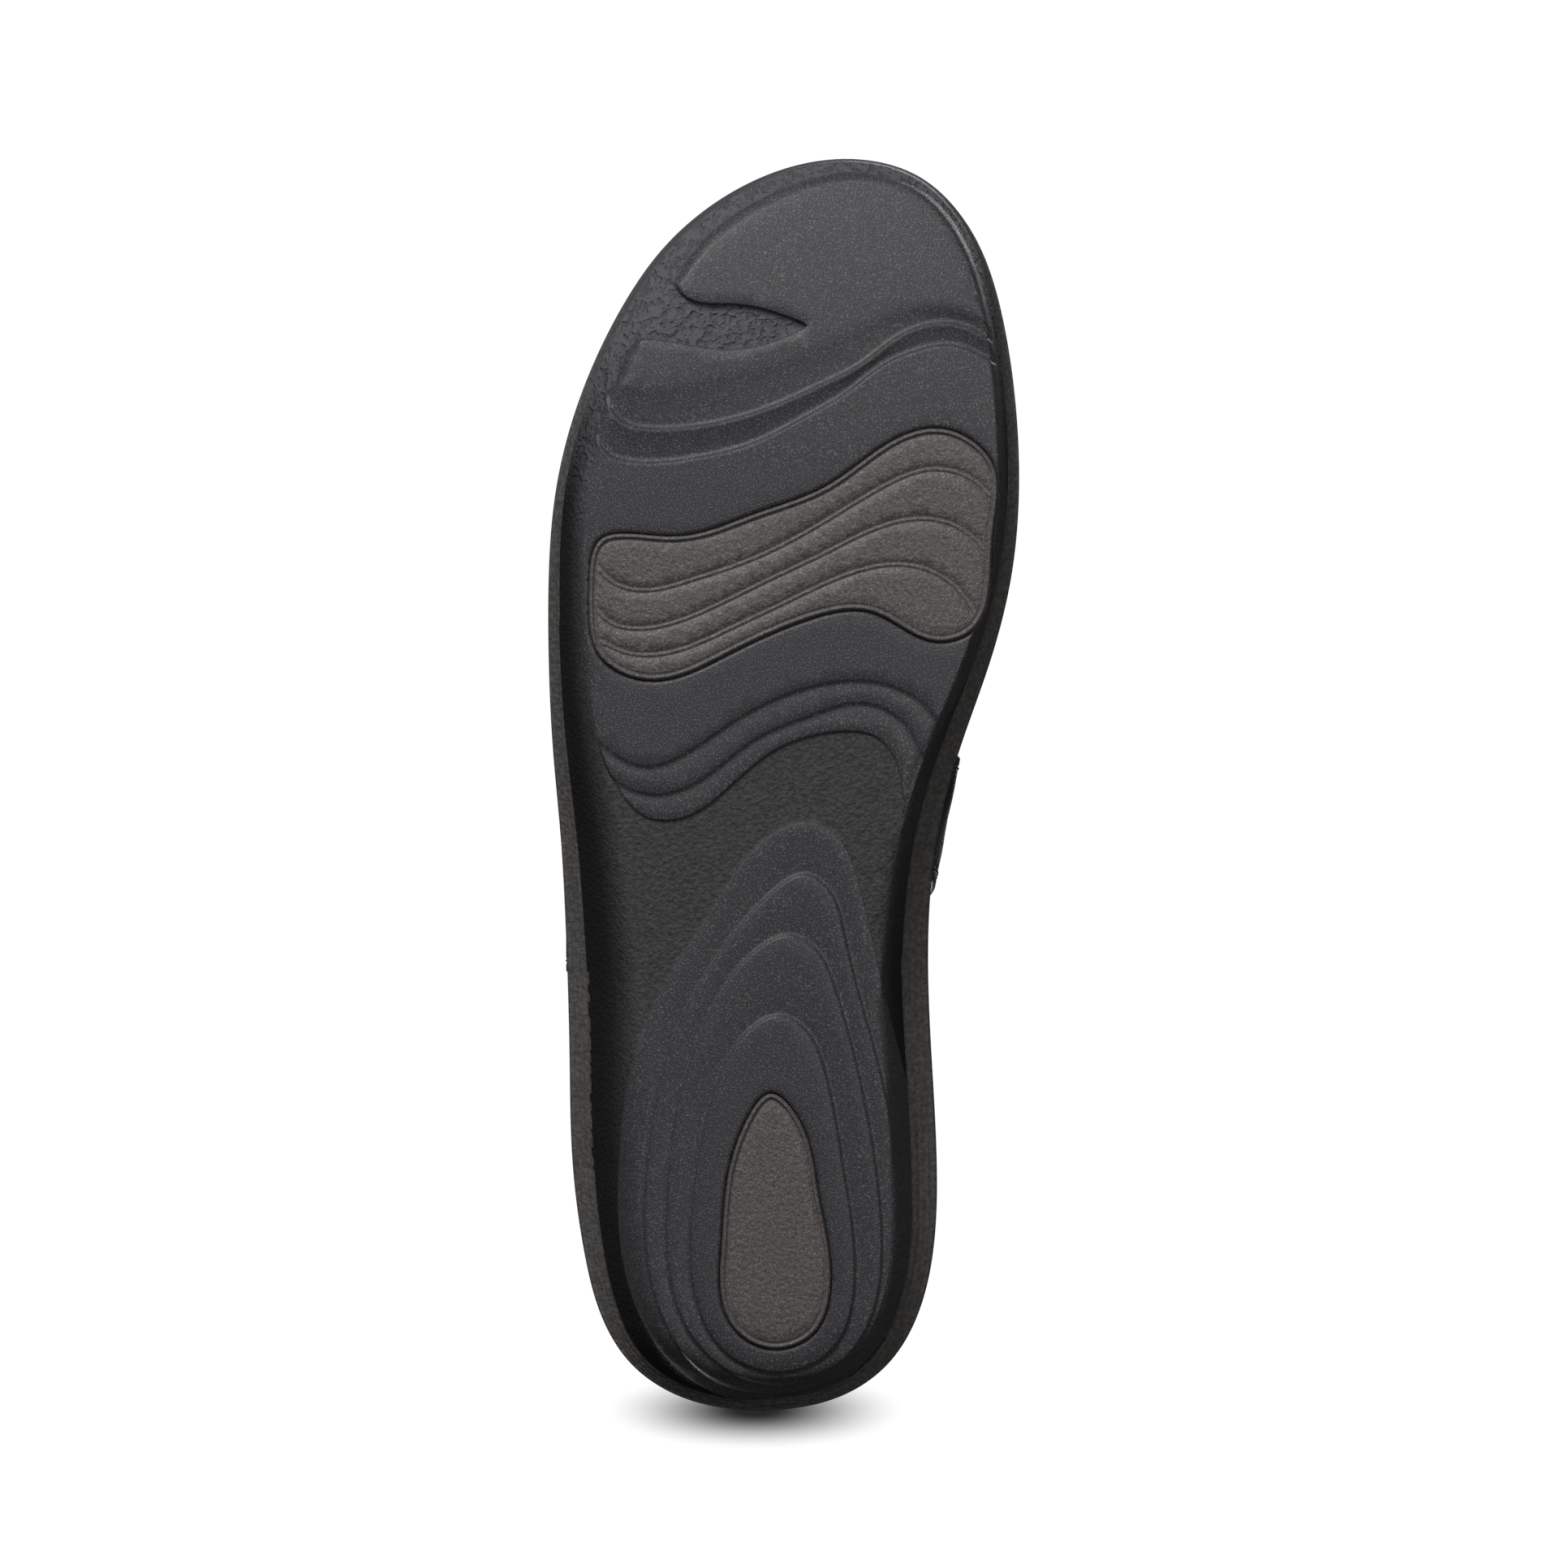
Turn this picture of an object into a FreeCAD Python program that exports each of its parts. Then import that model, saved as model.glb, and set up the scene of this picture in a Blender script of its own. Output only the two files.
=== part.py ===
import FreeCAD, Part
import math
import os

# Right-foot comfort sandal, millimetres.  +Z is up, the toe points to -Y, the medial (big toe) side
# is +X.  The origin lies on the ground under the middle of the sole.

Vector = FreeCAD.Vector
doc = FreeCAD.newDocument("comfort_sandal")

# ---------------------------------------------------------------------------- driving dimensions
SIZES = [
    ("sole_length", 261.6, "toe to heel, over the rim"),
    ("sole_width", 98.0, "over the rim at the ball"),
    ("forefoot_height", 14.0, "ground to insole board under the ball"),
    ("heel_height", 28.0, "ground to insole board under the heel"),
    ("toe_spring", 12.0, "lift of the tread at the toe tip"),
    ("heel_bevel", 4.0, "lift of the tread at the rear edge"),
    ("sidewall_flare", 4.0, "how far the rim overhangs the tread"),
    ("flare_height", 12.0, "height of the flared part of the sidewall"),
    ("rim_height", 6.0, "sole rim above the insole board seat"),
    ("rim_wall", 4.0, "thickness of the rim round the footbed"),
    ("tread_relief", 1.0, "smooth tread pads above the grained margin"),
    ("wave_depth", 0.8, "depth of the curved flex grooves"),
    ("insert_depth", 2.2, "recess for the grip inserts"),
    ("insert_gap", 0.15, "clearance round a grip insert"),
    ("board_thick", 2.0, "insole board"),
    ("foam_thick", 5.0, "footbed foam"),
    ("cushion_thick", 2.5, "heel and ball cushions, arch wedge"),
    ("cover_thick", 1.2, "footbed cover sheet"),
    ("footbed_inset", 8.4, "rim to footbed edge, leaves room for the straps"),
    ("shank_thick", 1.8, "shank strip"),
    ("shank_width", 14.0, "shank strip"),
    ("shank_length", 96.0, "shank strip"),
    ("leather_thick", 1.4, "strap leather"),
    ("lining_thick", 1.0, "strap lining"),
    ("vamp_pad_thick", 1.8, "padding in the forefoot strap"),
    ("sling_pad_thick", 3.0, "padding behind the heel"),
    ("patch_thick", 0.9, "hook and loop patches"),
    ("tab_thick", 2.0, "folded-back tab of the instep strap"),
    ("ring_wire", 3.0, "strap ring wire"),
    ("ring_opening", 28.0, "strap ring, clear width"),
    ("ring_pitch", 10.2, "strap ring, between the middles of its long bars"),
    ("wrap_gap", 0.35, "strap to ring bar"),
    ("stud_radius", 2.0, "sling stud shaft"),
    ("stud_head_radius", 4.2, "sling stud heads"),
    ("stud_height", 62.0, "sling pivot above the ground"),
    ("stud_reach", 57.0, "sling pivot behind the middle of the sole"),
    ("sling_width", 18.0, "sling legs, up and down"),
    ("frame_wire", 2.0, "buckle wire"),
    ("frame_width", 22.0, "buckle, over its wires"),
    ("frame_length", 12.8, "buckle, between its two cross bars"),
    ("keeper_length", 5.0, "keeper loop along the strap"),
]

sheet = doc.addObject("Spreadsheet::Sheet", "dims")
for row, (alias, value, meaning) in enumerate(SIZES, start=1):
    sheet.set("A%d" % row, meaning)
    sheet.set("B%d" % row, str(value))
    sheet.setAlias("B%d" % row, alias)
doc.recompute()


def size(alias):
    return float(sheet.get(alias))


NOMINAL_LENGTH = 261.6
NOMINAL_WIDTH = 98.0
LENGTH_SCALE = size("sole_length") / NOMINAL_LENGTH
WIDTH_SCALE = size("sole_width") / NOMINAL_WIDTH
HALF_LENGTH = size("sole_length") / 2
BUILD_HEIGHT = 70.0     # taller than the sole, for bodies that are cut to shape afterwards
BUILD_WIDTH = 140.0     # wider than the sole
BELOW_GROUND = -6.0     # where those bodies start
OVERRUN = 2.0           # how far side view lines run past the sole
PAD_ROOT = 3.0          # how far a tread pad reaches up into the sole
BOARD_CLEARANCE = 0.4   # insole board to rim wall
STRAP_SEAT = 0.6        # strap ends above the insole board
SHANK_CLEARANCE = 0.3   # shank to the walls of its recess
SHANK_DROP = 0.1        # top of the shank below the board
TOE_CURVE_START = -60.0
HEEL_CURVE_START = 108.0

# ---------------------------------------------------------------------------- outlines, plan view
# The rim at stations along the sole: distance from the middle (toe negative), lateral x, medial x.
RIM_STATIONS = [
    (-126.7, -5.1, 28.8), (-121.0, -15.0, 35.2), (-112.0, -25.0, 40.9), (-98.2, -34.4, 45.3),
    (-81.9, -41.9, 47.9), (-61.5, -47.4, 48.9), (-43.0, -49.0, 47.3), (-24.7, -49.0, 42.7),
    (-7.0, -48.2, 36.6), (12.0, -46.6, 31.9), (32.0, -45.6, 30.2), (56.9, -44.9, 30.9),
    (80.0, -44.2, 32.0), (97.7, -41.8, 31.2), (111.0, -38.2, 27.9), (121.0, -32.0, 21.8),
    (127.6, -22.5, 12.5),
]
RIM_TOE = (12.1, -130.8)
RIM_HEEL = (-3.0, 130.8)

TOE_EDGE = [(-23.5, -103.8), (-18.2, -112.1), (-5.3, -122.1), (12.6, -127.8), (30.4, -122.8),
            (41.8, -102.8), (46.0, -75.0), (45.2, -45.1), (36.4, -17.8), (27.5, -0.8), (23.6, 9.9)]
WAIST_EDGE = [(23.6, 9.9), (23.4, -2.6), (19.2, -9.1), (10.4, -10.3), (-1.4, -6.7), (-11.2, 1.1),
              (-18.9, 6.7), (-28.2, 7.4), (-35.0, 0.6), (-41.1, -17.9)]
LATERAL_EDGE = [(-41.1, -17.9), (-42.8, -40.0), (-41.2, -64.0), (-34.0, -84.9)]
NOTCH_LOWER = [(-34.0, -84.9), (-30.4, -92.7), (-21.1, -91.4), (-12.4, -90.2), (4.6, -94.9)]
NOTCH_UPPER = [(4.6, -94.9), (-9.7, -99.0), (-20.4, -100.6), (-23.5, -103.8)]

FRONT_WAVE = [(-37.2, -81.3), (-31.8, -73.5), (-20.0, -73.0), (-2.0, -77.8), (16.2, -86.6),
              (28.2, -94.8), (40.8, -93.0)]
REAR_WAVE = [(-39.4, -74.2), (-34.7, -67.5), (-22.0, -66.0), (-4.0, -71.5), (13.3, -80.7),
             (26.9, -89.3), (40.4, -88.3)]
WAVE_WIDTH = 1.6

FOREFOOT_INSERT = [
    (-38.2, -50.6), (-23.3, -51.4), (-6.8, -55.8), (9.0, -62.0), (24.0, -72.0), (33.0, -73.6),
    (43.4, -66.2), (43.4, -50.9), (38.3, -30.9), (31.5, -29.1), (18.0, -35.2), (5.4, -33.9),
    (-12.8, -25.9), (-28.7, -21.2), (-38.1, -25.9), (-40.6, -38.7),
]
HEEL_RINGS = [
    [(5.1, 7.9), (-8.2, 17.1), (-24.7, 41.4), (-33.3, 67.1), (-34.2, 92.0), (-29.6, 111.3),
     (-17.2, 125.4), (0.5, 129.8), (13.1, 123.9), (24.1, 109.9), (27.9, 89.2), (25.5, 65.7),
     (16.2, 23.5), (12.6, 12.9)],
    [(4.3, 18.8), (-6.1, 26.4), (-22.4, 52.1), (-28.9, 83.4), (-25.2, 109.9), (-15.0, 123.2),
     (-0.8, 126.8), (13.1, 122.3), (21.9, 107.7), (23.8, 85.6), (18.2, 53.6), (10.4, 24.6)],
    [(1.0, 31.4), (-8.8, 37.8), (-20.4, 62.1), (-24.1, 89.2), (-19.4, 113.5), (-7.5, 123.2),
     (5.8, 123.2), (16.8, 112.8), (20.1, 93.6), (15.5, 63.7), (8.3, 37.2)],
    [(-1.4, 48.0), (-10.4, 55.0), (-17.9, 79.0), (-18.5, 104.6), (-11.9, 117.6), (-0.8, 121.6),
     (10.2, 116.5), (14.5, 102.4), (12.1, 79.0), (6.1, 53.6)],
]
HEEL_INSERT = [(-2.7, 63.7), (2.9, 68.6), (7.3, 84.1), (9.9, 104.0), (6.5, 113.5), (-2.7, 117.0),
               (-10.5, 112.8), (-13.1, 94.4), (-8.3, 70.0)]

# Soft supports inside the footbed: plan outlines.
HEEL_CUSHION = [(-6.5, 70.0), (-24.0, 82.0), (-26.0, 100.0), (-6.5, 116.0), (13.0, 100.0), (11.0, 82.0)]
BALL_CUSHION = [(2.0, -86.0), (-24.0, -70.0), (-30.0, -50.0), (0.0, -32.0), (28.0, -48.0), (28.0, -74.0)]
ARCH_WEDGE = [(20.5, -14.0), (8.0, 0.0), (4.0, 26.0), (8.0, 48.0), (18.5, 58.0), (19.5, 28.0)]

# Height of the insole board seat along the sole, as shares of the forefoot and heel heights.
SEAT_SHARES = [(-131.0, 1.72, 0.0), (-104.0, 1.26, 0.0), (-66.0, 1.0, 0.0), (-30.0, 1.0, 0.03),
               (8.0, 0.62, 0.37), (45.0, 0.25, 0.78), (84.0, 0.0, 1.0), (131.0, 0.0, 1.05)]


def scaled(points):
    return [Vector(x * WIDTH_SCALE, y * LENGTH_SCALE, 0) for x, y in points]


def rim_points():
    lateral = [(x, y) for y, x, unused in RIM_STATIONS]
    medial = [(x, y) for y, unused, x in RIM_STATIONS]
    return [RIM_TOE] + medial + [RIM_HEEL] + lateral[::-1]


def inset(points, distance):
    """Closed outline moved inwards by a distance, point by point."""
    moved = []
    for index, (x, y) in enumerate(points):
        before = points[index - 1]
        after = points[(index + 1) % len(points)]
        along = Vector(after[0] - before[0], after[1] - before[1], 0).normalize()
        moved.append((x - along.y * distance, y + along.x * distance))
    return moved


def closed_curve(points):
    curve = Part.BSplineCurve()
    curve.interpolate(scaled(points), PeriodicFlag=True)
    return curve


def open_curve(vectors):
    curve = Part.BSplineCurve()
    curve.interpolate(vectors)
    return curve


def seat_height(y):
    """Seat of the insole board at a station, read off the straight runs between the shares."""
    rows = [(place, a * size("forefoot_height") + b * size("heel_height")) for place, a, b in SEAT_SHARES]
    for (y0, z0), (y1, z1) in zip(rows, rows[1:]):
        if y <= y1:
            return z0 + (z1 - z0) * (y - y0) / (y1 - y0)
    return rows[-1][1]


# ---------------------------------------------------------------------------- sketches and bodies
SIDE_PLANE = FreeCAD.Rotation(Vector(0, 1, 0), Vector(0, 0, 1), Vector(1, 0, 0), "XYZ")


def plan_sketch(name, curves, level=0.0):
    sketch = doc.addObject("Sketcher::SketchObject", name)
    sketch.Placement = FreeCAD.Placement(Vector(0, 0, level), FreeCAD.Rotation())
    for curve in curves:
        sketch.addGeometry(curve, False)
    return sketch


def extrusion(name, sketch, direction, length, symmetric=False):
    solid = doc.addObject("Part::Extrusion", name)
    solid.Base = sketch
    solid.DirMode = "Custom"
    solid.Dir = direction
    solid.Solid = True
    solid.Symmetric = symmetric
    solid.LengthFwd = length
    return solid


def plan_block(name, curves, level=BELOW_GROUND):
    return extrusion(name, plan_sketch(name + "_plan", curves, level), Vector(0, 0, 1), BUILD_HEIGHT)


def tread_line(lift):
    """Side view of the tread: a toe spring arc, the flat ground contact and a heel bevel arc."""
    ends = []
    for start, end, rise in (
            (TOE_CURVE_START * LENGTH_SCALE, -HALF_LENGTH - OVERRUN, size("toe_spring")),
            (HEEL_CURVE_START * LENGTH_SCALE, HALF_LENGTH + OVERRUN, size("heel_bevel"))):
        run = abs(end - start)
        radius = (run * run + rise * rise) / (2 * rise)
        turn = math.asin(run / radius)
        side = math.copysign(1, end)
        middle = Vector(start + side * radius * math.sin(turn / 2),
                        radius - radius * math.cos(turn / 2) + lift, 0)
        ends.append((Vector(start, lift, 0), middle, Vector(end, rise + lift, 0)))
    toe, heel = ends
    return [Part.Arc(toe[2], toe[1], toe[0]), Part.LineSegment(toe[0], heel[0]), Part.Arc(*heel)]


def seat_line(lift):
    """Side view of the insole board seat, lifted."""
    points = []
    for place, forefoot_share, heel_share in SEAT_SHARES:
        height = forefoot_share * size("forefoot_height") + heel_share * size("heel_height")
        reach = place + math.copysign(OVERRUN, place) if abs(place) > HALF_LENGTH else place
        points.append(Vector(reach, height + lift, 0))
    return [open_curve(points)]


def flat_line(height):
    reach = HALF_LENGTH + OVERRUN + 0.2
    return [Part.LineSegment(Vector(-reach, height, 0), Vector(reach, height, 0))]


def side_band(name, lower, upper):
    """A slab right across the sole between two side view lines."""
    sketch = doc.addObject("Sketcher::SketchObject", name + "_side")
    sketch.Placement = FreeCAD.Placement(Vector(0, 0, 0), SIDE_PLANE)
    for curve in lower + upper:
        sketch.addGeometry(curve, False)
    for index, end in ((0, "StartPoint"), (-1, "EndPoint")):
        sketch.addGeometry(Part.LineSegment(point_at(lower[index], end), point_at(upper[index], end)), False)
    return extrusion(name, sketch, Vector(1, 0, 0), BUILD_WIDTH, symmetric=True)


def point_at(curve, end):
    first, last = curve.FirstParameter, curve.LastParameter
    return curve.value(first if end == "StartPoint" else last)


def common(name, first, second):
    both = doc.addObject("Part::Common", name)
    both.Base = first
    both.Tool = second
    return both


def fuse(name, shapes):
    together = doc.addObject("Part::MultiFuse", name)
    together.Shapes = shapes
    return together


def cut(name, base, tool):
    rest = doc.addObject("Part::Cut", name)
    rest.Base = base
    rest.Tool = tool
    return rest


def layer(name, curves, lower, upper):
    """A sheet with a plan outline between two side view lines."""
    return common(name, plan_block(name + "_block", curves), side_band(name + "_band", lower, upper))


nodes = []


def keep(node, label):
    node.Label = label
    nodes.append(node)
    return node


# ---------------------------------------------------------------------------- sole unit
rim = rim_points()
tread_plan = inset(rim, size("sidewall_flare"))
seat_plan = inset(rim, size("rim_wall"))
footbed_plan = inset(rim, size("footbed_inset"))
board_plan = inset(rim, size("rim_wall") + BOARD_CLEARANCE)

flare = doc.addObject("Part::Loft", "sole_flare")
flare.Sections = [plan_sketch("tread_outline", [closed_curve(tread_plan)]),
                  plan_sketch("rim_outline", [closed_curve(rim)], size("flare_height"))]
flare.Solid = True
flare.Ruled = True
wall = extrusion("sole_wall", plan_sketch("wall_outline", [closed_curve(rim)], size("flare_height")),
                 Vector(0, 0, 1), BUILD_HEIGHT)
relief = size("tread_relief")
blank = common("sole_blank", fuse("sole_mass", [flare, wall]),
               side_band("sole_depth", tread_line(relief), seat_line(size("rim_height"))))

forefoot_edges = [open_curve(scaled(edge))
                  for edge in (TOE_EDGE, WAIST_EDGE, LATERAL_EDGE, NOTCH_LOWER, NOTCH_UPPER)]
forefoot_pad = layer("forefoot_tread", forefoot_edges, tread_line(0), tread_line(relief + PAD_ROOT))
heel_pads = []
for index, ring in enumerate(HEEL_RINGS):
    step = relief * (len(HEEL_RINGS) - 1 - index) / len(HEEL_RINGS)
    heel_pads.append(layer("heel_terrace_%d" % (index + 1), [closed_curve(ring)],
                           tread_line(step), tread_line(relief + PAD_ROOT)))
sole_mass = fuse("sole_with_tread", [blank, forefoot_pad] + heel_pads)

seat = layer("footbed_seat", [closed_curve(seat_plan)], seat_line(0), flat_line(BUILD_HEIGHT - 8))
hollows = [seat]
for label, outline in (("forefoot", FOREFOOT_INSERT), ("heel", HEEL_INSERT)):
    hollows.append(layer(label + "_recess", [closed_curve(outline)],
                         flat_line(BELOW_GROUND + 1), tread_line(size("insert_depth"))))


def wave_loop(points):
    """Crescent of constant width with pointed ends, on the toe side of a wave line."""
    lower = open_curve(scaled(points))
    raised = [points[0]] + [(x, y - WAVE_WIDTH) for x, y in points[1:-1]] + [points[-1]]
    return [lower, open_curve(scaled(raised))]


for label, points in (("front", FRONT_WAVE), ("rear", REAR_WAVE)):
    hollows.append(layer(label + "_wave", wave_loop(points),
                         flat_line(BELOW_GROUND + 1), tread_line(size("wave_depth"))))

shank_start = -24.0
shank_middle = -3.0


def strip_outline(grow):
    half = size("shank_width") / 2 + grow
    corners = [Vector(shank_middle - half, shank_start - grow, 0),
               Vector(shank_middle + half, shank_start - grow, 0),
               Vector(shank_middle + half, shank_start + size("shank_length") + grow, 0),
               Vector(shank_middle - half, shank_start + size("shank_length") + grow, 0)]
    return [Part.LineSegment(a, b) for a, b in zip(corners, corners[1:] + corners[:1])]


hollows.append(layer("shank_recess", strip_outline(SHANK_CLEARANCE),
                     seat_line(-size("shank_thick") - SHANK_CLEARANCE), seat_line(1)))
keep(cut("sole_unit", sole_mass, fuse("sole_hollows", hollows)), "sole_unit")

# ---------------------------------------------------------------------------- grip inserts, shank
insert_gap = size("insert_gap")
for label, outline in (("forefoot", FOREFOOT_INSERT), ("heel", HEEL_INSERT)):
    keep(layer(label + "_insert", [closed_curve(inset(outline, insert_gap))],
               tread_line(0), tread_line(size("insert_depth") - 0.1)), label + "_grip_insert")
keep(layer("shank_strip", strip_outline(0),
           seat_line(-size("shank_thick") - SHANK_DROP), seat_line(-SHANK_DROP)), "shank")

# ---------------------------------------------------------------------------- footbed
board_top = size("board_thick")
foam_top = board_top + size("foam_thick")
cushion = size("cushion_thick")
keep(layer("board_sheet", [closed_curve(board_plan)], seat_line(0), seat_line(board_top)), "insole_board")

CUSHIONS = [("heel_cushion", HEEL_CUSHION, foam_top - cushion, foam_top),
            ("ball_cushion", BALL_CUSHION, foam_top - cushion, foam_top),
            ("arch_wedge", ARCH_WEDGE, board_top, board_top + cushion)]
pockets = []
for label, outline, low, high in CUSHIONS:
    keep(layer(label + "_pad", [closed_curve(outline)], seat_line(low), seat_line(high)), label)
    pockets.append(layer(label + "_pocket", [closed_curve(outline)], seat_line(low), seat_line(high)))
foam_sheet = layer("foam_sheet", [closed_curve(footbed_plan)], seat_line(board_top), seat_line(foam_top))
keep(cut("foam_with_pockets", foam_sheet, fuse("foam_pockets", pockets)), "footbed_foam")
keep(layer("cover_sheet", [closed_curve(footbed_plan)],
           seat_line(foam_top), seat_line(foam_top + size("cover_thick"))), "footbed_cover")


# ---------------------------------------------------------------------------- straps
# A strap is a loft through flat cross-sections.  Each station gives the middle of the strap's inner
# face, its width and the direction of its width.  Layers are offsets outwards from that inner face.
STEPS_PER_SPAN = 3


def arch_normal(along):
    return Vector(along.z, 0, -along.x).normalize()


def back_arch_normal(along):
    return Vector(-along.z, 0, along.x).normalize()


def belt_normal(along):
    return Vector(-along.y, along.x, 0).normalize()


def wrap_normal(along):
    return Vector(along.y, -along.x, 0).normalize()


def path_slopes(places):
    """Direction of the path at each station, from the runs on both sides of it."""
    runs = [(b - a) * (1 / (b - a).Length) for a, b in zip(places, places[1:])]
    lengths = [(b - a).Length for a, b in zip(places, places[1:])]
    slopes = [runs[0]]
    for index in range(1, len(places) - 1):
        before, after = lengths[index - 1], lengths[index]
        slopes.append((runs[index] * before + runs[index - 1] * after) * (1 / (before + after)))
    return slopes + [runs[-1]]


def between(a, b, share):
    return a + (b - a) * share


def strap_sections(stations, outwards, low, high):
    """Cross-sections along a smooth path through the stations."""
    places = [Vector(*station[0]) for station in stations]
    ways = [Vector(*station[2]).normalize() for station in stations]
    slopes = path_slopes(places)
    sections = []
    for index in range(len(stations) - 1):
        run = (places[index + 1] - places[index]).Length
        last = index == len(stations) - 2
        for step in range(STEPS_PER_SPAN + (1 if last else 0)):
            u = step / STEPS_PER_SPAN
            start, end = places[index], places[index + 1]
            pull, push = slopes[index] * run, slopes[index + 1] * run
            place = (start * (2 * u ** 3 - 3 * u ** 2 + 1) + pull * (u ** 3 - 2 * u ** 2 + u)
                     + end * (3 * u ** 2 - 2 * u ** 3) + push * (u ** 3 - u ** 2))
            along = (start * (6 * u ** 2 - 6 * u) + pull * (3 * u ** 2 - 4 * u + 1)
                     + end * (6 * u - 6 * u ** 2) + push * (3 * u ** 2 - 2 * u))
            half = between(ways[index], ways[index + 1], u).normalize()
            half = half * (between(stations[index][1], stations[index + 1][1], u) / 2)
            normal = outwards(along)
            inner = place + normal * between(low[index], low[index + 1], u)
            outer = place + normal * between(high[index], high[index + 1], u)
            sections.append(Part.makePolygon([inner - half, inner + half, outer + half, outer - half,
                                              inner - half]))
    return sections


def strap_shape(stations, outwards, low, high, first=0, last=None):
    """Strap layer between two offsets, one number each or one per station, over some stations."""
    count = len(stations)
    lows = low if isinstance(low, list) else [low] * count
    highs = high if isinstance(high, list) else [high] * count
    sections = strap_sections(stations, outwards, lows, highs)
    stop = len(sections) if last is None else (last - 1) * STEPS_PER_SPAN + 1
    return Part.makeLoft(sections[first * STEPS_PER_SPAN:stop], True, True)


def keep_shape(label, shape):
    node = doc.addObject("Part::Feature", label)
    node.Shape = shape
    node.Placement = FreeCAD.Placement()
    return keep(node, label)


leather = size("leather_thick")
lining = size("lining_thick")
strap = leather + lining
board_level = board_top + STRAP_SEAT


def base(y):
    return seat_height(y) + board_level


# Forefoot strap, from the medial side over the ball to the lateral side.
VAMP_Y = -60.0
VAMP = [
    ((40.9, VAMP_Y, base(VAMP_Y)), 34, (-0.03, 1, 0)), ((41.1, VAMP_Y, 23.0), 34, (-0.03, 1, 0)),
    ((42.3, VAMP_Y, 33.0), 35, (-0.03, 1, 0.05)), ((38.5, VAMP_Y, 44.0), 36, (0, 1, 0.12)),
    ((26.0, VAMP_Y, 53.5), 38, (0, 1, 0.2)), ((8.0, VAMP_Y - 2, 57.5), 40, (0, 1, 0.24)),
    ((-13.0, VAMP_Y - 1, 54.0), 38, (0, 1, 0.2)), ((-30.5, VAMP_Y, 45.0), 36, (0, 1, 0.12)),
    ((-39.3, VAMP_Y, 34.0), 35, (-0.1, 1, 0.05)), ((-40.2, VAMP_Y, 23.0), 34, (-0.16, 1, 0)),
    ((-40.2, VAMP_Y, base(VAMP_Y)), 34, (-0.16, 1, 0)),
]
swell = [size("vamp_pad_thick") * share for share in (0, 0, 0.3, 0.8, 1, 1, 1, 0.8, 0.3, 0, 0)]
keep_shape("vamp_lining", strap_shape(VAMP, arch_normal, 0, lining))
keep_shape("vamp_padding", strap_shape(VAMP, arch_normal, lining, [lining + s for s in swell], 2, 9))
keep_shape("vamp_strap", strap_shape(VAMP, arch_normal, [lining + s for s in swell],
                                     [strap + s for s in swell]))

# Strap ring on the lateral shoulder: its upper bar takes the instep strap, its lower bar the loop.
RING_Y = 29.0
UPPER_BAR = Vector(-30.0, RING_Y, 74.5)
ring_along = Vector(0.549, 0, 0.836).normalize()
ring_out = Vector(-ring_along.z, 0, ring_along.x)
LOWER_BAR = UPPER_BAR - ring_along * size("ring_pitch")
wire_radius = size("ring_wire") / 2
bar_gap = wire_radius + size("wrap_gap")
under_bar = UPPER_BAR - ring_out * (bar_gap + strap) + ring_along * 1.6

INSTEP = [
    ((25.9, 6, base(6)), 27, (-0.2, 1, 0.14)), ((26.1, 6, 27.5), 27, (-0.2, 1, 0.12)),
    ((31.9, 7, 38.0), 27, (-0.24, 1, 0.1)), ((31.9, 9, 50.0), 27, (-0.14, 1, 0.1)),
    ((28.5, 12, 63.0), 27, (0, 1, 0.12)), ((20.5, 16, 74.5), 26, (0, 1, 0.16)),
    ((7.5, 20, 82.2), 26, (0, 1, 0.18)), ((-7.0, 25, 83.4), 26, (0, 1, 0.15)),
    ((-18.5, 28.5, 79.5), 26, (0, 1, 0.06)), (tuple(under_bar), 26, (0, 1, 0)),
]
keep_shape("instep_lining", strap_shape(INSTEP, arch_normal, 0, lining))
keep_shape("instep_strap", strap_shape(INSTEP, arch_normal, lining, strap))
patch = size("patch_thick")
keep_shape("loop_patch", strap_shape([(place, width - 4, way) for place, width, way in INSTEP],
                                     arch_normal, strap, strap + patch, 5, 9))

# Tab: starts round the upper bar and lies back over the instep strap.
round_bar = (ring_out - ring_along).normalize()
tab_lift = strap + 2 * patch + 0.5
TAB = [
    (tuple(UPPER_BAR - ring_along * bar_gap), 26, (0, 1, 0)),
    (tuple(UPPER_BAR + round_bar * bar_gap), 26, (0, 1, 0)),
    (tuple(UPPER_BAR + ring_out * bar_gap), 26, (0, 1, 0)),
    ((-28.0, 29.5, 80.0), 26, (0, 1, 0.03)), ((-20.6, 28, 84.6), 26, (0, 1, 0.08)),
    ((-8.0, 25, 88.4), 26, (0, 1, 0.15)), ((5.5, 21, 87.6), 25, (0, 1, 0.18)),
    ((18.0, 17, 82.2), 22, (0, 1, 0.17)),
]
keep_shape("instep_tab", strap_shape(TAB, back_arch_normal, 0, size("tab_thick")))
keep_shape("hook_patch", strap_shape([(place, width - 4, way) for place, width, way in TAB],
                                     back_arch_normal, -patch, 0, 4, 8))

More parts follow.
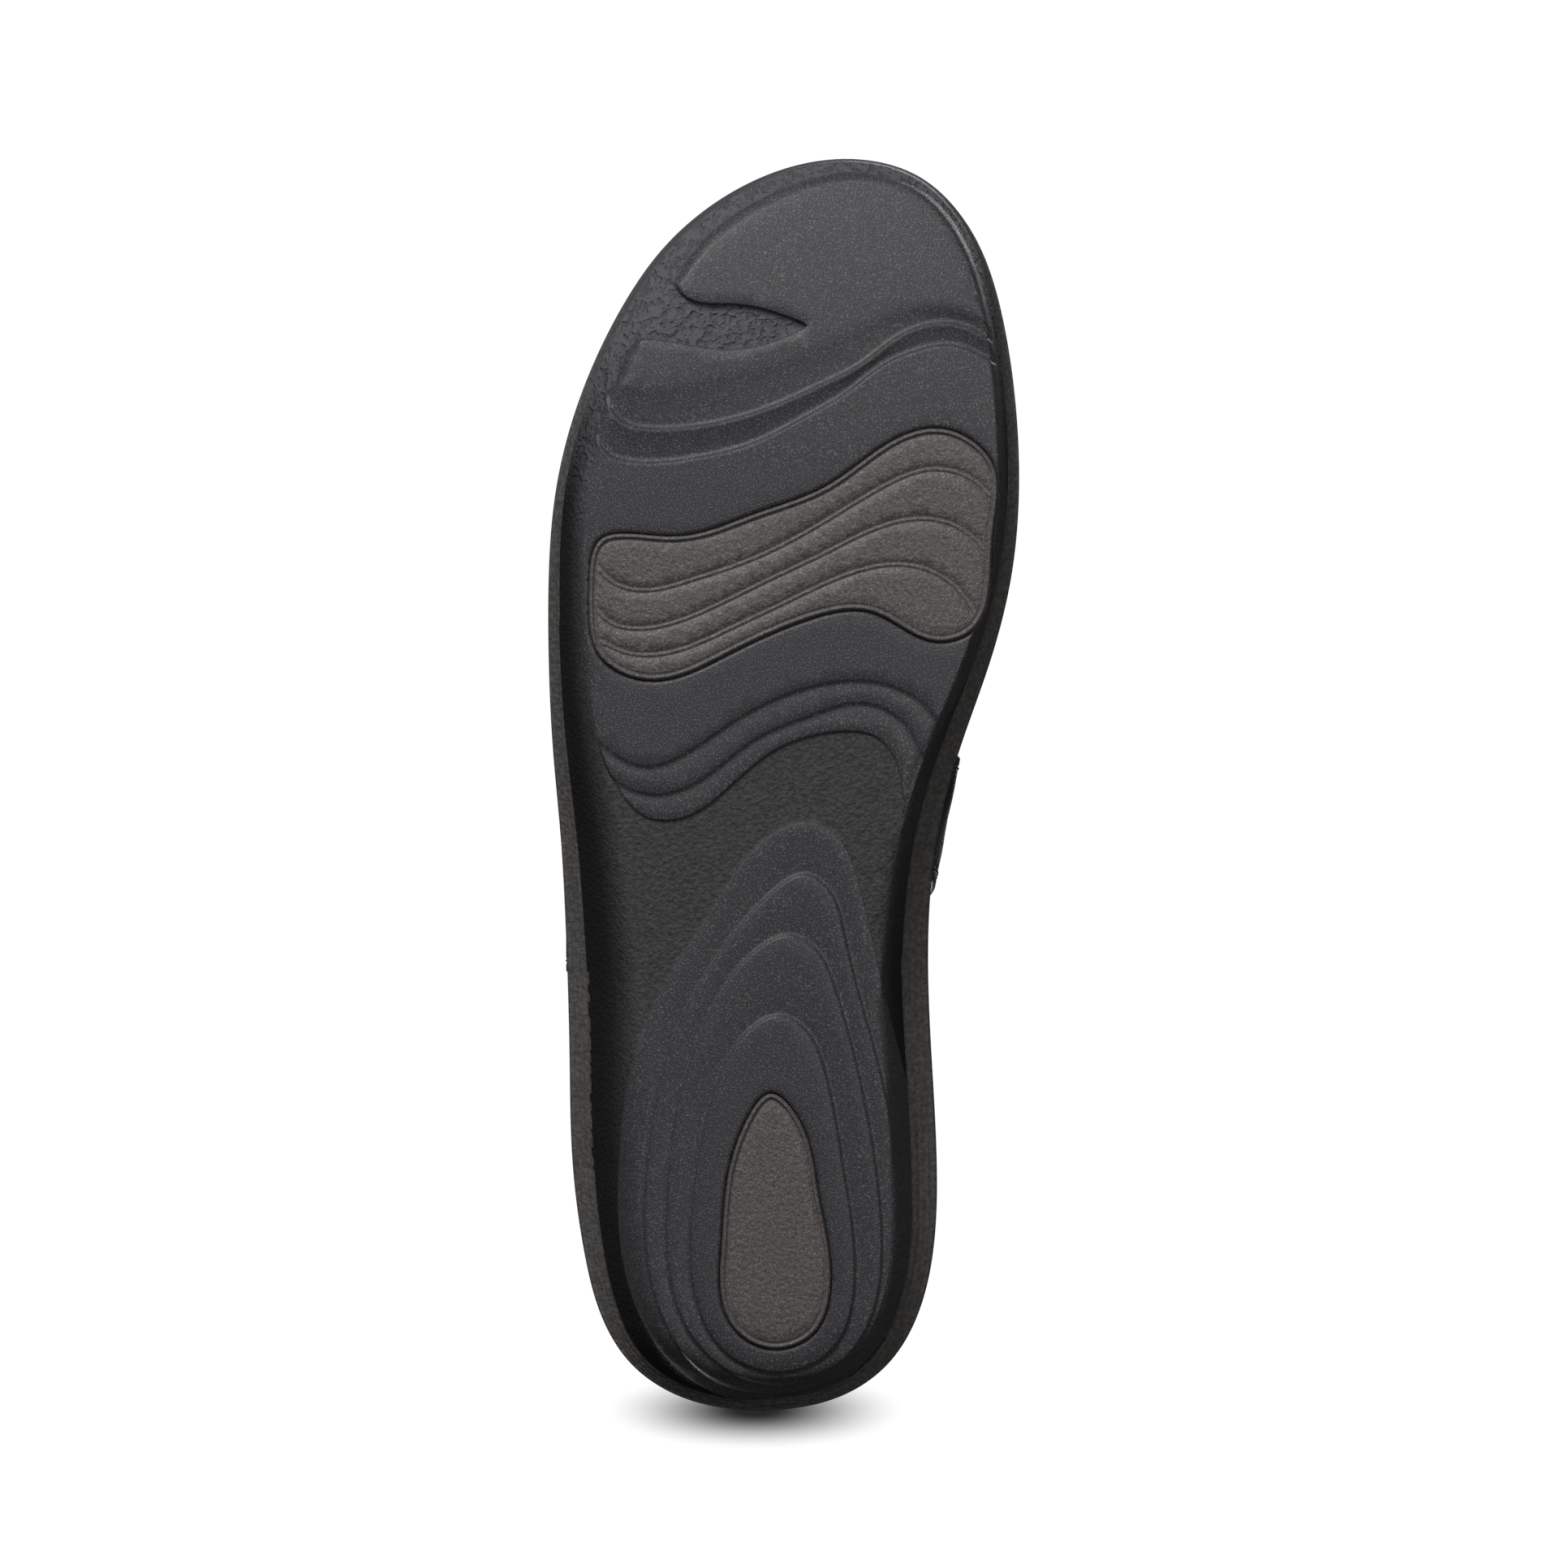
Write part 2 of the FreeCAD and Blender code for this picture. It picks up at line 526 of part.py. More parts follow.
# Loop of leather that holds the ring's lower bar on the lateral panel.
LOOP = [
    ((-45.5, RING_Y, 50.0), 23, (0, 1, 0.1)), ((-45.4, RING_Y, 56.0), 23, (0, 1, 0.08)),
    ((-44.6, RING_Y, 61.0), 23, (0, 1, 0.04)),
    (tuple(LOWER_BAR + ring_out * bar_gap - ring_along * 0.5), 23, (0, 1, 0)),
    (tuple(LOWER_BAR + (ring_out + ring_along).normalize() * bar_gap), 23, (0, 1, 0)),
    (tuple(LOWER_BAR + ring_along * bar_gap), 23, (0, 1, 0)),
    (tuple(LOWER_BAR + (ring_along - ring_out).normalize() * bar_gap), 23, (0, 1, 0)),
    (tuple(LOWER_BAR - ring_out * bar_gap), 23, (0, 1, 0)),
    ((-36.9, RING_Y, 61.5), 23, (0, 1, 0)),
]
keep_shape("ring_loop", strap_shape(LOOP, back_arch_normal, 0, 1.2))


# ---------------------------------------------------------------------------- side panels
LATERAL_PANEL = [
    ((-38.6, 42.5, base(42.5) + 0.2), 55, (0.03, 1, 0.135)), ((-38.8, 42.5, 34.0), 55, (0.03, 1, 0.12)),
    ((-42.6, 42.0, 43.0), 54, (0.02, 1, 0.08)), ((-42.7, 42.0, 53.0), 51, (0.01, 1, 0.1)),
    ((-41.0, 42.0, 63.0), 46, (0, 1, 0.3)),
]
MEDIAL_PANEL = [
    ((23.0, 44, base(44) + 0.2), 35, (0.01, 1, 0.12)), ((23.2, 44, 34.5), 35, (0.01, 1, 0.11)),
    ((26.6, 46, 43.0), 33, (0, 1, 0.1)), ((27.0, 49, 53.0), 29, (0, 1, 0.12)),
    ((26.4, 52, 65.5), 25, (0, 1, 0.2)),
]
stud_y = size("stud_reach")
stud_z = size("stud_height")
stud_radius = size("stud_radius")
stud_fit = 0.06


def stud_hole(x, gap):
    return Part.makeCylinder(stud_radius + gap, 8, Vector(x - 4, stud_y, stud_z), Vector(1, 0, 0))


for side, panel, outwards, hole_x in (("lateral", LATERAL_PANEL, back_arch_normal, -42.0),
                                      ("medial", MEDIAL_PANEL, arch_normal, 27.5)):
    hole = stud_hole(hole_x, 0)
    keep_shape(side + "_lining", strap_shape(panel, outwards, 0, lining).cut(hole))
    keep_shape(side + "_panel", strap_shape(panel, outwards, lining, strap).cut(hole))


# ---------------------------------------------------------------------------- heel sling
SLING_UP = (0, 0, 1)
legs = size("sling_width")
# Places, width shares and padding shares from the rounded lateral end round the heel to the medial end.
SLING_ROWS = [
    (-35.8, 49.0, 0.42, 0), (-35.8, 51.5, 0.78, 0), (-35.8, 57.0, 1, 0), (-35.8, 66.0, 1, 0),
    (-35.7, 76.0, 1, 0), (-34.6, 86.0, 1, 0), (-30.8, 97.0, 1.1, 0.2), (-24.0, 106.5, 1.25, 0.6),
    (-15.5, 112.4, 1.35, 0.9), (-6.3, 114.5, 1.4, 1), (3.0, 112.4, 1.35, 0.9), (11.5, 106.5, 1.25, 0.6),
    (18.3, 97.0, 1.1, 0.2), (21.8, 86.0, 1, 0), (22.8, 76.0, 1, 0), (22.9, 66.0, 1, 0),
    (22.9, 57.0, 1, 0), (22.9, 51.5, 0.78, 0), (22.9, 49.0, 0.42, 0),
]
BUCKLE_END = 5      # rows before this one belong to the short anchor strap
STRAP_START = 7     # rows from this one on belong to the long sling strap
PAD_START, PAD_END = 7, 13
SLING = [((x, y, stud_z), legs * share, SLING_UP) for x, y, share, unused in SLING_ROWS]
puff = [size("sling_pad_thick") * row[3] for row in SLING_ROWS]
lateral_hole = stud_hole(-37.0, stud_fit)
medial_hole = stud_hole(24.0, stud_fit)

# The buckle hangs on its front bar, outside the lateral leg; the sling strap passes through it.
frame_radius = size("frame_wire") / 2
FRAME_BAR = Vector(-39.1, 84.0, stud_z)
frame_along = Vector(0.19, 0.982, 0).normalize()
frame_out = Vector(-frame_along.y, frame_along.x, 0)
FAR_BAR = FRAME_BAR + frame_along * size("frame_length")
wrap = frame_radius + 0.25
tongue_gap = wrap + 1.2 + 0.15
tongue_width = 15.0

ANCHOR = SLING[:BUCKLE_END] + [
    (tuple(FRAME_BAR - frame_along * 3.5 - frame_out * (wrap + 1.2)), tongue_width, SLING_UP),
    (tuple(FRAME_BAR + frame_along * 0.4 - frame_out * (wrap + 1.2)), tongue_width, SLING_UP),
]
anchor_layers = [(lining, strap)] * BUCKLE_END + [(0, 1.2)] * 2
anchor = strap_shape(ANCHOR, belt_normal, [low for low, high in anchor_layers],
                     [high for low, high in anchor_layers])
WRAP = [(tuple(FRAME_BAR + (frame_along * math.sin(turn) - frame_out * math.cos(turn)) * wrap),
         tongue_width, SLING_UP) for turn in (0, math.pi / 4, math.pi / 2, 3 * math.pi / 4, math.pi)]
wrap_shape = strap_shape(WRAP, wrap_normal, 0, 1.2)
prong_slot = Part.makeBox(8, 8, 4.2, Vector(FRAME_BAR.x - 4, FRAME_BAR.y - 3, stud_z - 2.1))
keep_shape("sling_anchor", anchor.fuse(wrap_shape).cut(prong_slot).cut(lateral_hole).removeSplitter())
keep_shape("anchor_lining", strap_shape(ANCHOR, belt_normal, 0, lining, 0, BUCKLE_END).cut(lateral_hole))

TONGUE = [
    ((-38.7, 72.5, stud_z), 12, SLING_UP), ((-39.2, 76.5, stud_z), tongue_width, SLING_UP),
    (tuple(FRAME_BAR + frame_out * tongue_gap - frame_along * 3.0), tongue_width, SLING_UP),
    (tuple(FRAME_BAR + frame_out * tongue_gap), tongue_width, SLING_UP),
    (tuple(FRAME_BAR + frame_along * 3.6 + frame_out * 1.6), tongue_width, SLING_UP),
    (tuple(FAR_BAR - frame_out * (frame_radius + 2.1) - frame_along * 2.0), tongue_width, SLING_UP),
]
tongue_count = len(TONGUE)
tongue_sections = strap_sections(TONGUE + SLING[STRAP_START:STRAP_START + 1], belt_normal,
                                 [0] * tongue_count + [lining + puff[STRAP_START]],
                                 [1.8] * tongue_count + [strap + puff[STRAP_START]])
heel_sections = strap_sections(SLING, belt_normal, [lining + p for p in puff], [strap + p for p in puff])
sling_strap = Part.makeLoft(tongue_sections[:-1] + heel_sections[STRAP_START * STEPS_PER_SPAN:], True, True)
tongue_slot = Part.makeBox(9, 13.5, 3.4, Vector(FRAME_BAR.x - 5, FRAME_BAR.y - 3.0, stud_z - 1.7))
keep_shape("sling_strap", sling_strap.cut(tongue_slot).cut(medial_hole))
keep_shape("sling_padding", strap_shape(SLING, belt_normal, lining, [lining + p for p in puff],
                                        PAD_START, PAD_END))
keep_shape("sling_lining", strap_shape(SLING, belt_normal, 0, lining, STRAP_START).cut(medial_hole))

# Keeper loop round the anchor and the tongue.
keeper_room = Vector(7.2, size("keeper_length") + 2, legs + 1.2)
keeper_wall = 1.0
keeper_corner = Vector(-42.6, 72.4, stud_z - keeper_room.z / 2)
keeper_inner = Part.makeBox(keeper_room.x, keeper_room.y, keeper_room.z, keeper_corner)
keeper_outer = Part.makeBox(keeper_room.x + 2 * keeper_wall, size("keeper_length"),
                            keeper_room.z + 2 * keeper_wall,
                            keeper_corner + Vector(-keeper_wall, 1, -keeper_wall))
keep_shape("keeper_loop", keeper_outer.cut(keeper_inner))


# ---------------------------------------------------------------------------- metal pieces
def role_plane(body, role):
    return [plane for plane in body.Origin.OriginFeatures if plane.Role == role][0]


def body_sketch(body, name, role, curves):
    sketch = body.newObject("Sketcher::SketchObject", name)
    sketch.AttachmentSupport = [(role_plane(body, role), "")]
    sketch.MapMode = "FlatFace"
    for curve in curves:
        sketch.addGeometry(curve, False)
    return sketch


def rounded_rectangle(width, height, radius):
    x, y = width / 2, height / 2
    lines = [((-x + radius, -y), (x - radius, -y)), ((x, -y + radius), (x, y - radius)),
             ((x - radius, y), (-x + radius, y)), ((-x, y - radius), (-x, -y + radius))]
    centres = [(x - radius, -y + radius), (x - radius, y - radius),
               (-x + radius, y - radius), (-x + radius, -y + radius)]
    curves = [Part.LineSegment(Vector(*a, 0), Vector(*b, 0)) for a, b in lines]
    for quarter, (cx, cy) in enumerate(centres):
        circle = Part.Circle(Vector(cx, cy, 0), Vector(0, 0, 1), radius)
        start = -math.pi / 2 + quarter * math.pi / 2
        curves.append(Part.ArcOfCircle(circle, start, start + math.pi / 2))
    return curves


def wire_frame(label, outer_width, outer_length, wire, thickness_cell, placement):
    """Rectangular wire loop: a pad between two rounded rectangles, its edges rounded."""
    body = doc.addObject("PartDesign::Body", label + "_body")
    curves = (rounded_rectangle(outer_width, outer_length, 1.6 * wire)
              + rounded_rectangle(outer_width - 2 * wire, outer_length - 2 * wire, 0.6 * wire))
    sketch = body_sketch(body, label + "_outline", "XY_Plane", curves)
    pad = body.newObject("PartDesign::Pad", label + "_pad")
    pad.Profile = sketch
    pad.Midplane = True
    pad.setExpression("Length", "dims." + thickness_cell)
    doc.recompute()
    round_edges = body.newObject("PartDesign::Fillet", label + "_round")
    round_edges.Base = (pad, [name for name, edge in edge_names(pad.Shape) if flat_rim(edge, wire)])
    round_edges.Radius = wire * 0.45
    body.Tip = round_edges
    body.Placement = placement
    return keep(body, label)


def edge_names(shape):
    return [("Edge%d" % (index + 1), edge) for index, edge in enumerate(shape.Edges)]


def flat_rim(edge, wire):
    """Edges that lie on one of the two flat faces, not the short ones across the thickness."""
    heights = [vertex.Z for vertex in edge.Vertexes]
    return max(heights) - min(heights) < wire * 0.5


ring_middle = (UPPER_BAR + LOWER_BAR) * 0.5
wire_frame("strap_ring", size("ring_opening") + 2 * size("ring_wire"),
           size("ring_pitch") + size("ring_wire"), size("ring_wire"), "ring_wire",
           FreeCAD.Placement(ring_middle, FreeCAD.Rotation(Vector(0, -1, 0), ring_along, ring_out, "ZYX")))

frame_middle = (FRAME_BAR + FAR_BAR) * 0.5
wire_frame("buckle_frame", size("frame_width"), size("frame_length") + size("frame_wire"),
           size("frame_wire"), "frame_wire",
           FreeCAD.Placement(frame_middle,
                             FreeCAD.Rotation(Vector(0, 0, -1), frame_along, frame_out, "ZYX")))

# Prong: an eye round the front bar and a tapering needle that rests on the far bar.
eye_gap = 0.08
needle_radius = 0.95
needle_rise = frame_radius + eye_gap + needle_radius
tip = FAR_BAR + frame_out * (frame_radius + needle_radius + 0.12) + frame_along * 1.8
root = FRAME_BAR + frame_out * (needle_rise + 0.3)
needle_length = (tip - root).Length
eye = Part.makeCylinder(frame_radius + 1.3, 3.0, FRAME_BAR - Vector(0, 0, 1.5))
needle = Part.makeCone(needle_radius, needle_radius * 0.6, needle_length, root, tip - root)
bar_room = Part.makeCylinder(frame_radius + eye_gap, 10, FRAME_BAR - Vector(0, 0, 5))
keep_shape("buckle_prong", eye.fuse(needle).cut(bar_room).removeSplitter())


def stud_shape(head_x, shaft_end, outwards, collar_start, collar_end):
    """Shaft with a domed outer head, a flat inner head and a collar that spaces the sling."""
    axis = Vector(outwards, 0, 0)

    def disc(radius, start, length):
        return Part.makeCylinder(radius, length, Vector(start, stud_y, stud_z), axis)

    shape = disc(size("stud_head_radius"), head_x, 0.8)
    shape = shape.fuse(disc(stud_radius, head_x, abs(shaft_end - head_x)))
    shape = shape.fuse(disc(stud_radius + 1.1, collar_start, abs(collar_end - collar_start)))
    dome = Part.makeCone(size("stud_head_radius"), stud_radius, 0.9,
                         Vector(shaft_end, stud_y, stud_z), axis)
    return shape.fuse(dome).removeSplitter()


studs = [stud_shape(-34.7, -44.6, -1, -38.45, -40.0), stud_shape(21.8, 29.6, 1, 25.55, 26.2)]
keep_shape("sling_studs", Part.makeCompound(studs))

# ---------------------------------------------------------------------------- check and write
doc.recompute()
for item in doc.Objects:
    if "Invalid" in item.State or "Error" in item.State:
        raise RuntimeError("object failed: " + item.Label)
os.makedirs("parts", exist_ok=True)
for node in nodes:
    shape = node.Shape
    if shape.isNull() or not shape.isValid() or not shape.Solids:
        raise RuntimeError("bad shape: " + node.Label)
    shape.exportStep("parts/%s.step" % node.Label)
    box = shape.BoundBox
    print("%-22s solids %d volume %8.0f  x %6.1f %6.1f  y %6.1f %6.1f  z %5.1f %5.1f"
          % (node.Label, len(shape.Solids), shape.Volume, box.XMin, box.XMax, box.YMin, box.YMax,
             box.ZMin, box.ZMax))
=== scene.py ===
import math

import bmesh
import bpy
import numpy as np
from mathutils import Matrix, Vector
from mathutils.geometry import delaunay_2d_cdt
from mathutils.kdtree import KDTree


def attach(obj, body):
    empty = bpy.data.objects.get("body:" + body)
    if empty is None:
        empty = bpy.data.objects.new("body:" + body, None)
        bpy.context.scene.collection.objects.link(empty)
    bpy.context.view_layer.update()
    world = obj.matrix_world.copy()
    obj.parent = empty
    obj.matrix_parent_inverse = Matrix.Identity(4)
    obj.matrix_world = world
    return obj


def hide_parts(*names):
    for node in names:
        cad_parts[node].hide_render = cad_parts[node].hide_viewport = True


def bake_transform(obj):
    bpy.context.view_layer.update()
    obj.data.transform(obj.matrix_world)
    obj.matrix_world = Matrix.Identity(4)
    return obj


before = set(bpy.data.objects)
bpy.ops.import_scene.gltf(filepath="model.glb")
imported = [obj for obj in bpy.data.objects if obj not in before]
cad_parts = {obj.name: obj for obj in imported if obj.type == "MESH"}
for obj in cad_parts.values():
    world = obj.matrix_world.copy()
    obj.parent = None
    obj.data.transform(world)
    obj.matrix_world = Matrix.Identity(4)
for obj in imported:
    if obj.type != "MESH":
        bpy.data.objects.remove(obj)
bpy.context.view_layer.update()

# Plan outlines and strap stations are in millimetres, in the frame of the CAD model: +Z is up, the
# toe points to -Y, +X is the medial side and the ground is at z = 0.
MM = 0.001

# ---------------------------------------------------------------------------- outlines of the sole
# The rim at stations along the sole: distance from the middle (toe negative), lateral x, medial x.
RIM_STATIONS = [
    (-126.7, -5.1, 28.8), (-121.0, -15.0, 35.2), (-112.0, -25.0, 40.9), (-98.2, -34.4, 45.3),
    (-81.9, -41.9, 47.9), (-61.5, -47.4, 48.9), (-43.0, -49.0, 47.3), (-24.7, -49.0, 42.7),
    (-7.0, -48.2, 36.6), (12.0, -46.6, 31.9), (32.0, -45.6, 30.2), (56.9, -44.9, 30.9),
    (80.0, -44.2, 32.0), (97.7, -41.8, 31.2), (111.0, -38.2, 27.9), (121.0, -32.0, 21.8),
    (127.6, -22.5, 12.5),
]
RIM_TOE = (12.1, -130.8)
RIM_HEEL = (-3.0, 130.8)

# Forefoot tread pad, edge by edge anticlockwise, each with the width of its rounded shoulder.
TOE_EDGE = [(-23.5, -103.8), (-18.2, -112.1), (-5.3, -122.1), (12.6, -127.8), (30.4, -122.8),
            (41.8, -102.8), (46.0, -75.0), (45.2, -45.1), (36.4, -17.8), (27.5, -0.8), (23.6, 9.9)]
WAIST_EDGE = [(23.6, 9.9), (23.4, -2.6), (19.2, -9.1), (10.4, -10.3), (-1.4, -6.7), (-11.2, 1.1),
              (-18.9, 6.7), (-28.2, 7.4), (-35.0, 0.6), (-41.1, -17.9)]
LATERAL_EDGE = [(-41.1, -17.9), (-42.8, -40.0), (-42.2, -57.0), (-39.9, -69.0), (-39.2, -74.0),
                (-37.7, -77.0), (-37.2, -81.5), (-34.8, -84.2), (-34.0, -88.0), (-30.4, -92.7)]
NOTCH_LOWER = [(-30.4, -92.7), (-21.1, -91.4), (-12.4, -90.2), (-3.0, -91.6), (4.6, -94.9)]
NOTCH_UPPER = [(4.6, -94.9), (-9.7, -99.0), (-20.4, -100.6), (-23.5, -103.8)]
PAD_EDGES = [(TOE_EDGE, 3.0), (WAIST_EDGE, 0.8), (LATERAL_EDGE, 4.2), (NOTCH_LOWER, 0.6), (NOTCH_UPPER, 0.6)]

# Flex waves across the forefoot, lateral to medial: the start of the first hollow and two ridge lines.
HOLLOW_START = [(-36.0, -84.6), (-31.0, -82.4), (-19.0, -83.5), (-2.0, -87.6), (16.2, -95.0),
                (22.0, -97.8), (30.4, -99.3), (37.6, -98.2), (45.5, -93.6)]
FRONT_WAVE = [(-37.6, -82.0), (-37.2, -79.0), (-35.4, -76.0), (-31.8, -73.7), (-26.6, -73.0),
              (-20.0, -73.3), (-2.0, -77.8), (8.0, -82.3), (16.2, -86.6), (22.5, -91.4), (28.2, -94.3),
              (34.5, -95.0), (46.0, -88.6)]
REAR_WAVE = [(-39.6, -74.2), (-39.0, -71.0), (-36.8, -67.9), (-32.5, -66.3), (-27.0, -66.0),
             (-20.0, -66.7), (-4.0, -71.0), (4.5, -75.5), (13.3, -80.7), (20.5, -86.2), (26.9, -89.1),
             (33.5, -90.4), (47.0, -83.8)]
# Low terraces between the forefoot insert and the waist, lateral to medial.
TERRACES = [
    [(-42.5, -14.0), (-36.2, -7.1), (-28.7, -3.7), (-19.9, -6.7), (-8.5, -14.2), (5.4, -20.1),
     (18.5, -21.2), (28.9, -16.6), (34.5, -8.0)],
    [(-40.5, -8.0), (-34.0, -0.3), (-26.9, 2.1), (-17.7, -0.6), (-6.3, -9.1), (5.4, -14.2),
     (17.2, -16.7), (25.0, -12.6), (29.5, -3.0)],
]
FOREFOOT_INSERT = [
    (-38.2, -50.6), (-23.3, -51.4), (-6.8, -55.8), (9.0, -62.0), (24.0, -72.0), (33.0, -73.6),
    (43.4, -66.2), (43.4, -50.9), (38.3, -30.9), (31.5, -29.1), (18.0, -35.2), (5.4, -33.9),
    (-12.8, -25.9), (-28.7, -21.2), (-38.1, -25.9), (-40.6, -38.7),
]
# Pairs of fine lines across the forefoot insert.
INSERT_LINES = [
    [(-39.5, -46.5), (-36.2, -42.2), (-29.4, -40.0), (-19.9, -41.9), (-6.8, -46.4), (9.0, -54.6),
     (21.9, -62.2), (30.4, -65.0), (39.1, -62.7), (43.6, -58.0)],
    [(-39.5, -37.0), (-36.2, -33.5), (-29.8, -32.1), (-19.2, -34.6), (-4.6, -41.5), (9.0, -48.0),
     (21.9, -53.8), (32.6, -54.3), (40.5, -49.3), (43.0, -45.0)],
    [(-38.8, -30.0), (-32.0, -27.0), (-23.5, -27.2), (-11.2, -32.1), (1.9, -38.3), (16.2, -44.3),
     (27.5, -44.9), (36.2, -39.8), (40.0, -34.0)],
]
HEEL_RINGS = [
    [(5.1, 7.9), (-3.9, 11.3), (-13.9, 24.2), (-24.7, 41.4), (-31.8, 58.6), (-34.2, 76.0), (-34.0, 96.6),
     (-29.6, 111.3), (-17.2, 125.4), (-0.8, 129.6), (13.1, 123.9), (24.1, 109.9), (27.9, 89.2),
     (27.2, 70.1), (21.9, 47.2), (16.2, 23.5), (13.9, 15.7), (9.7, 9.6)],
    [(4.3, 18.8), (-1.0, 21.3), (-12.6, 34.3), (-22.4, 52.1), (-27.7, 74.5), (-28.7, 93.6),
     (-25.2, 109.9), (-15.0, 123.2), (-0.8, 126.8), (13.1, 122.3), (21.9, 107.7), (23.8, 85.6),
     (18.2, 53.6), (12.6, 32.2), (8.3, 21.0)],
    [(1.0, 31.4), (-4.6, 33.6), (-14.6, 46.6), (-21.9, 67.1), (-24.1, 89.2), (-19.4, 113.5),
     (-7.5, 123.2), (5.8, 123.2), (16.8, 112.8), (20.1, 93.6), (17.9, 73.0), (10.7, 43.0), (5.4, 33.3)],
    [(-1.4, 48.0), (-6.8, 50.7), (-15.3, 67.1), (-18.9, 87.8), (-18.5, 104.6), (-11.9, 117.6),
     (-0.8, 121.6), (10.2, 116.5), (14.5, 102.4), (12.1, 79.0), (8.3, 59.2), (3.2, 49.8)],
]
HEEL_INSERT = [(-2.7, 63.7), (2.9, 68.6), (7.3, 84.1), (9.9, 104.0), (6.5, 113.5), (-2.7, 117.0),
               (-10.5, 112.8), (-13.1, 94.4), (-8.3, 70.0)]

# Side view: the tread curls up at the toe and the heel, and the insole board seat climbs to the heel.
TOE_ARC = (-60.0, -132.8, 12.0)
HEEL_ARC = (108.0, 132.8, 4.0)
FOREFOOT_HEIGHT = 14.0
HEEL_HEIGHT = 28.0
SEAT_SHARES = [(-131.0, 1.72, 0.0), (-104.0, 1.26, 0.0), (-66.0, 1.0, 0.0), (-30.0, 1.0, 0.03),
               (8.0, 0.62, 0.37), (45.0, 0.25, 0.78), (84.0, 0.0, 1.0), (131.0, 0.0, 1.05)]
RIM_HEIGHT = 6.0
RIM_WALL = 4.0

# Underside edge at stations: distance from the middle, then lateral and medial widths of the round
# shoulder and of the flared lip, and the height of the shoulder.
EDGE_STATIONS = np.array([
    (-131, 7.0, 4.2, 0.9, 0.9, 2.8), (-100, 8.6, 4.4, 1.3, 1.6, 4.4), (-60, 6.8, 5.0, 1.8, 2.5, 6.0),
    (-20, 9.0, 6.0, 2.6, 3.4, 8.5), (10, 12.5, 8.0, 3.4, 4.6, 12.0), (40, 15.0, 10.5, 4.2, 5.6, 14.5),
    (80, 14.0, 10.0, 4.2, 5.4, 14.5), (110, 12.0, 8.6, 3.6, 4.4, 12.0), (131, 7.5, 7.5, 2.2, 2.2, 8.5),
])
LIP_RISE = 2.2
MARGIN_DEPTH = 1.4
TERRACE_DROP = 0.38
WAVE_DEPTH = 1.4
RING_DROP = 0.36
RING_GROOVE = 0.62
RING_EDGE = 0.45        # half the width of a ring's step
INSERT_SEAT = 1.7
STEP_WIDTH = 0.35       # of a terrace's edge
CREST_WIDTH = 0.8       # of a wave's steep side
TERRACE_GROOVE = 0.24
TERRACE_END = -25       # terraces lie on the heel side of this station
SEAT_EDGE = 0.7         # width of the rounded edge round an insert
LIP_GROOVES = (0.3, 0.52, 0.74)     # places of the lip's grooves, as shares of its width
LIP_GROOVE_DEPTH = 0.22
LIP_GROOVE_WIDTH = 0.16
BEND = 0.2      # how soon the shoulder turns into its straight slope, as a share of its width
MEDIAL_BLEND = 14       # half the width over which the lateral side's sizes turn into the medial ones
# Middle and half length of the stretch at the arch where the painted shade on the medial side is lifted.
ARCH_Y = 2
ARCH_LENGTH = 26


# ---------------------------------------------------------------------------- curves and distances
def spline_slopes(knots, gaps, closed):
    """Slopes at the knots that make the curvature continuous."""
    count = len(knots)
    matrix = np.zeros((count, count))
    target = np.zeros_like(knots)
    for i in range(1, count - 1):
        before, after = 1 / gaps[i - 1], 1 / gaps[i]
        matrix[i, i - 1:i + 2] = before, 2 * (before + after), after
        target[i] = 3 * ((knots[i] - knots[i - 1]) * before ** 2 + (knots[i + 1] - knots[i]) * after ** 2)
    first, last = 1 / gaps[0], 1 / gaps[-1]
    if closed:
        matrix[0, [0, -1]] = 1, -1
        matrix[-1, [0, 1]] = 2 * first, first
        matrix[-1, [-2, -1]] = last, 2 * last
        target[-1] = 3 * ((knots[1] - knots[0]) * first ** 2 + (knots[-1] - knots[-2]) * last ** 2)
    else:
        matrix[0, :2] = 2, 1
        matrix[-1, -2:] = 1, 2
        target[0] = 3 * (knots[1] - knots[0]) * first
        target[-1] = 3 * (knots[-1] - knots[-2]) * last
    return np.linalg.solve(matrix, target)


def cubic(start, end, pull, push, u):
    """Points on a cubic run between two ends with the given slopes."""
    return (start * (2 * u ** 3 - 3 * u ** 2 + 1) + pull * (u ** 3 - 2 * u ** 2 + u)
            + end * (3 * u ** 2 - 2 * u ** 3) + push * (u ** 3 - u ** 2))


def spline(points, closed=False, spacing=0.8):
    """Points along a smooth curve through the given ones; a closed curve doesn't repeat its start."""
    knots = np.array(points + points[:1] if closed else points, float)
    gaps = np.linalg.norm(np.diff(knots, axis=0), axis=1)
    slopes = spline_slopes(knots, gaps, closed)
    rows = []
    for i, gap in enumerate(gaps):
        steps = math.ceil(gap / spacing)
        u = np.arange(0, 1, 1 / steps)[:steps, None]
        rows.append(cubic(knots[i], knots[i + 1], slopes[i] * gap, slopes[i + 1] * gap, u))
    return np.vstack(rows if closed else rows + [knots[-1:]])


def ease(value, start=0.0, end=1.0):
    """Smooth step from 0 at start to 1 at end."""
    t = np.clip((value - start) / (end - start), 0, 1)
    return t * t * (3 - 2 * t)


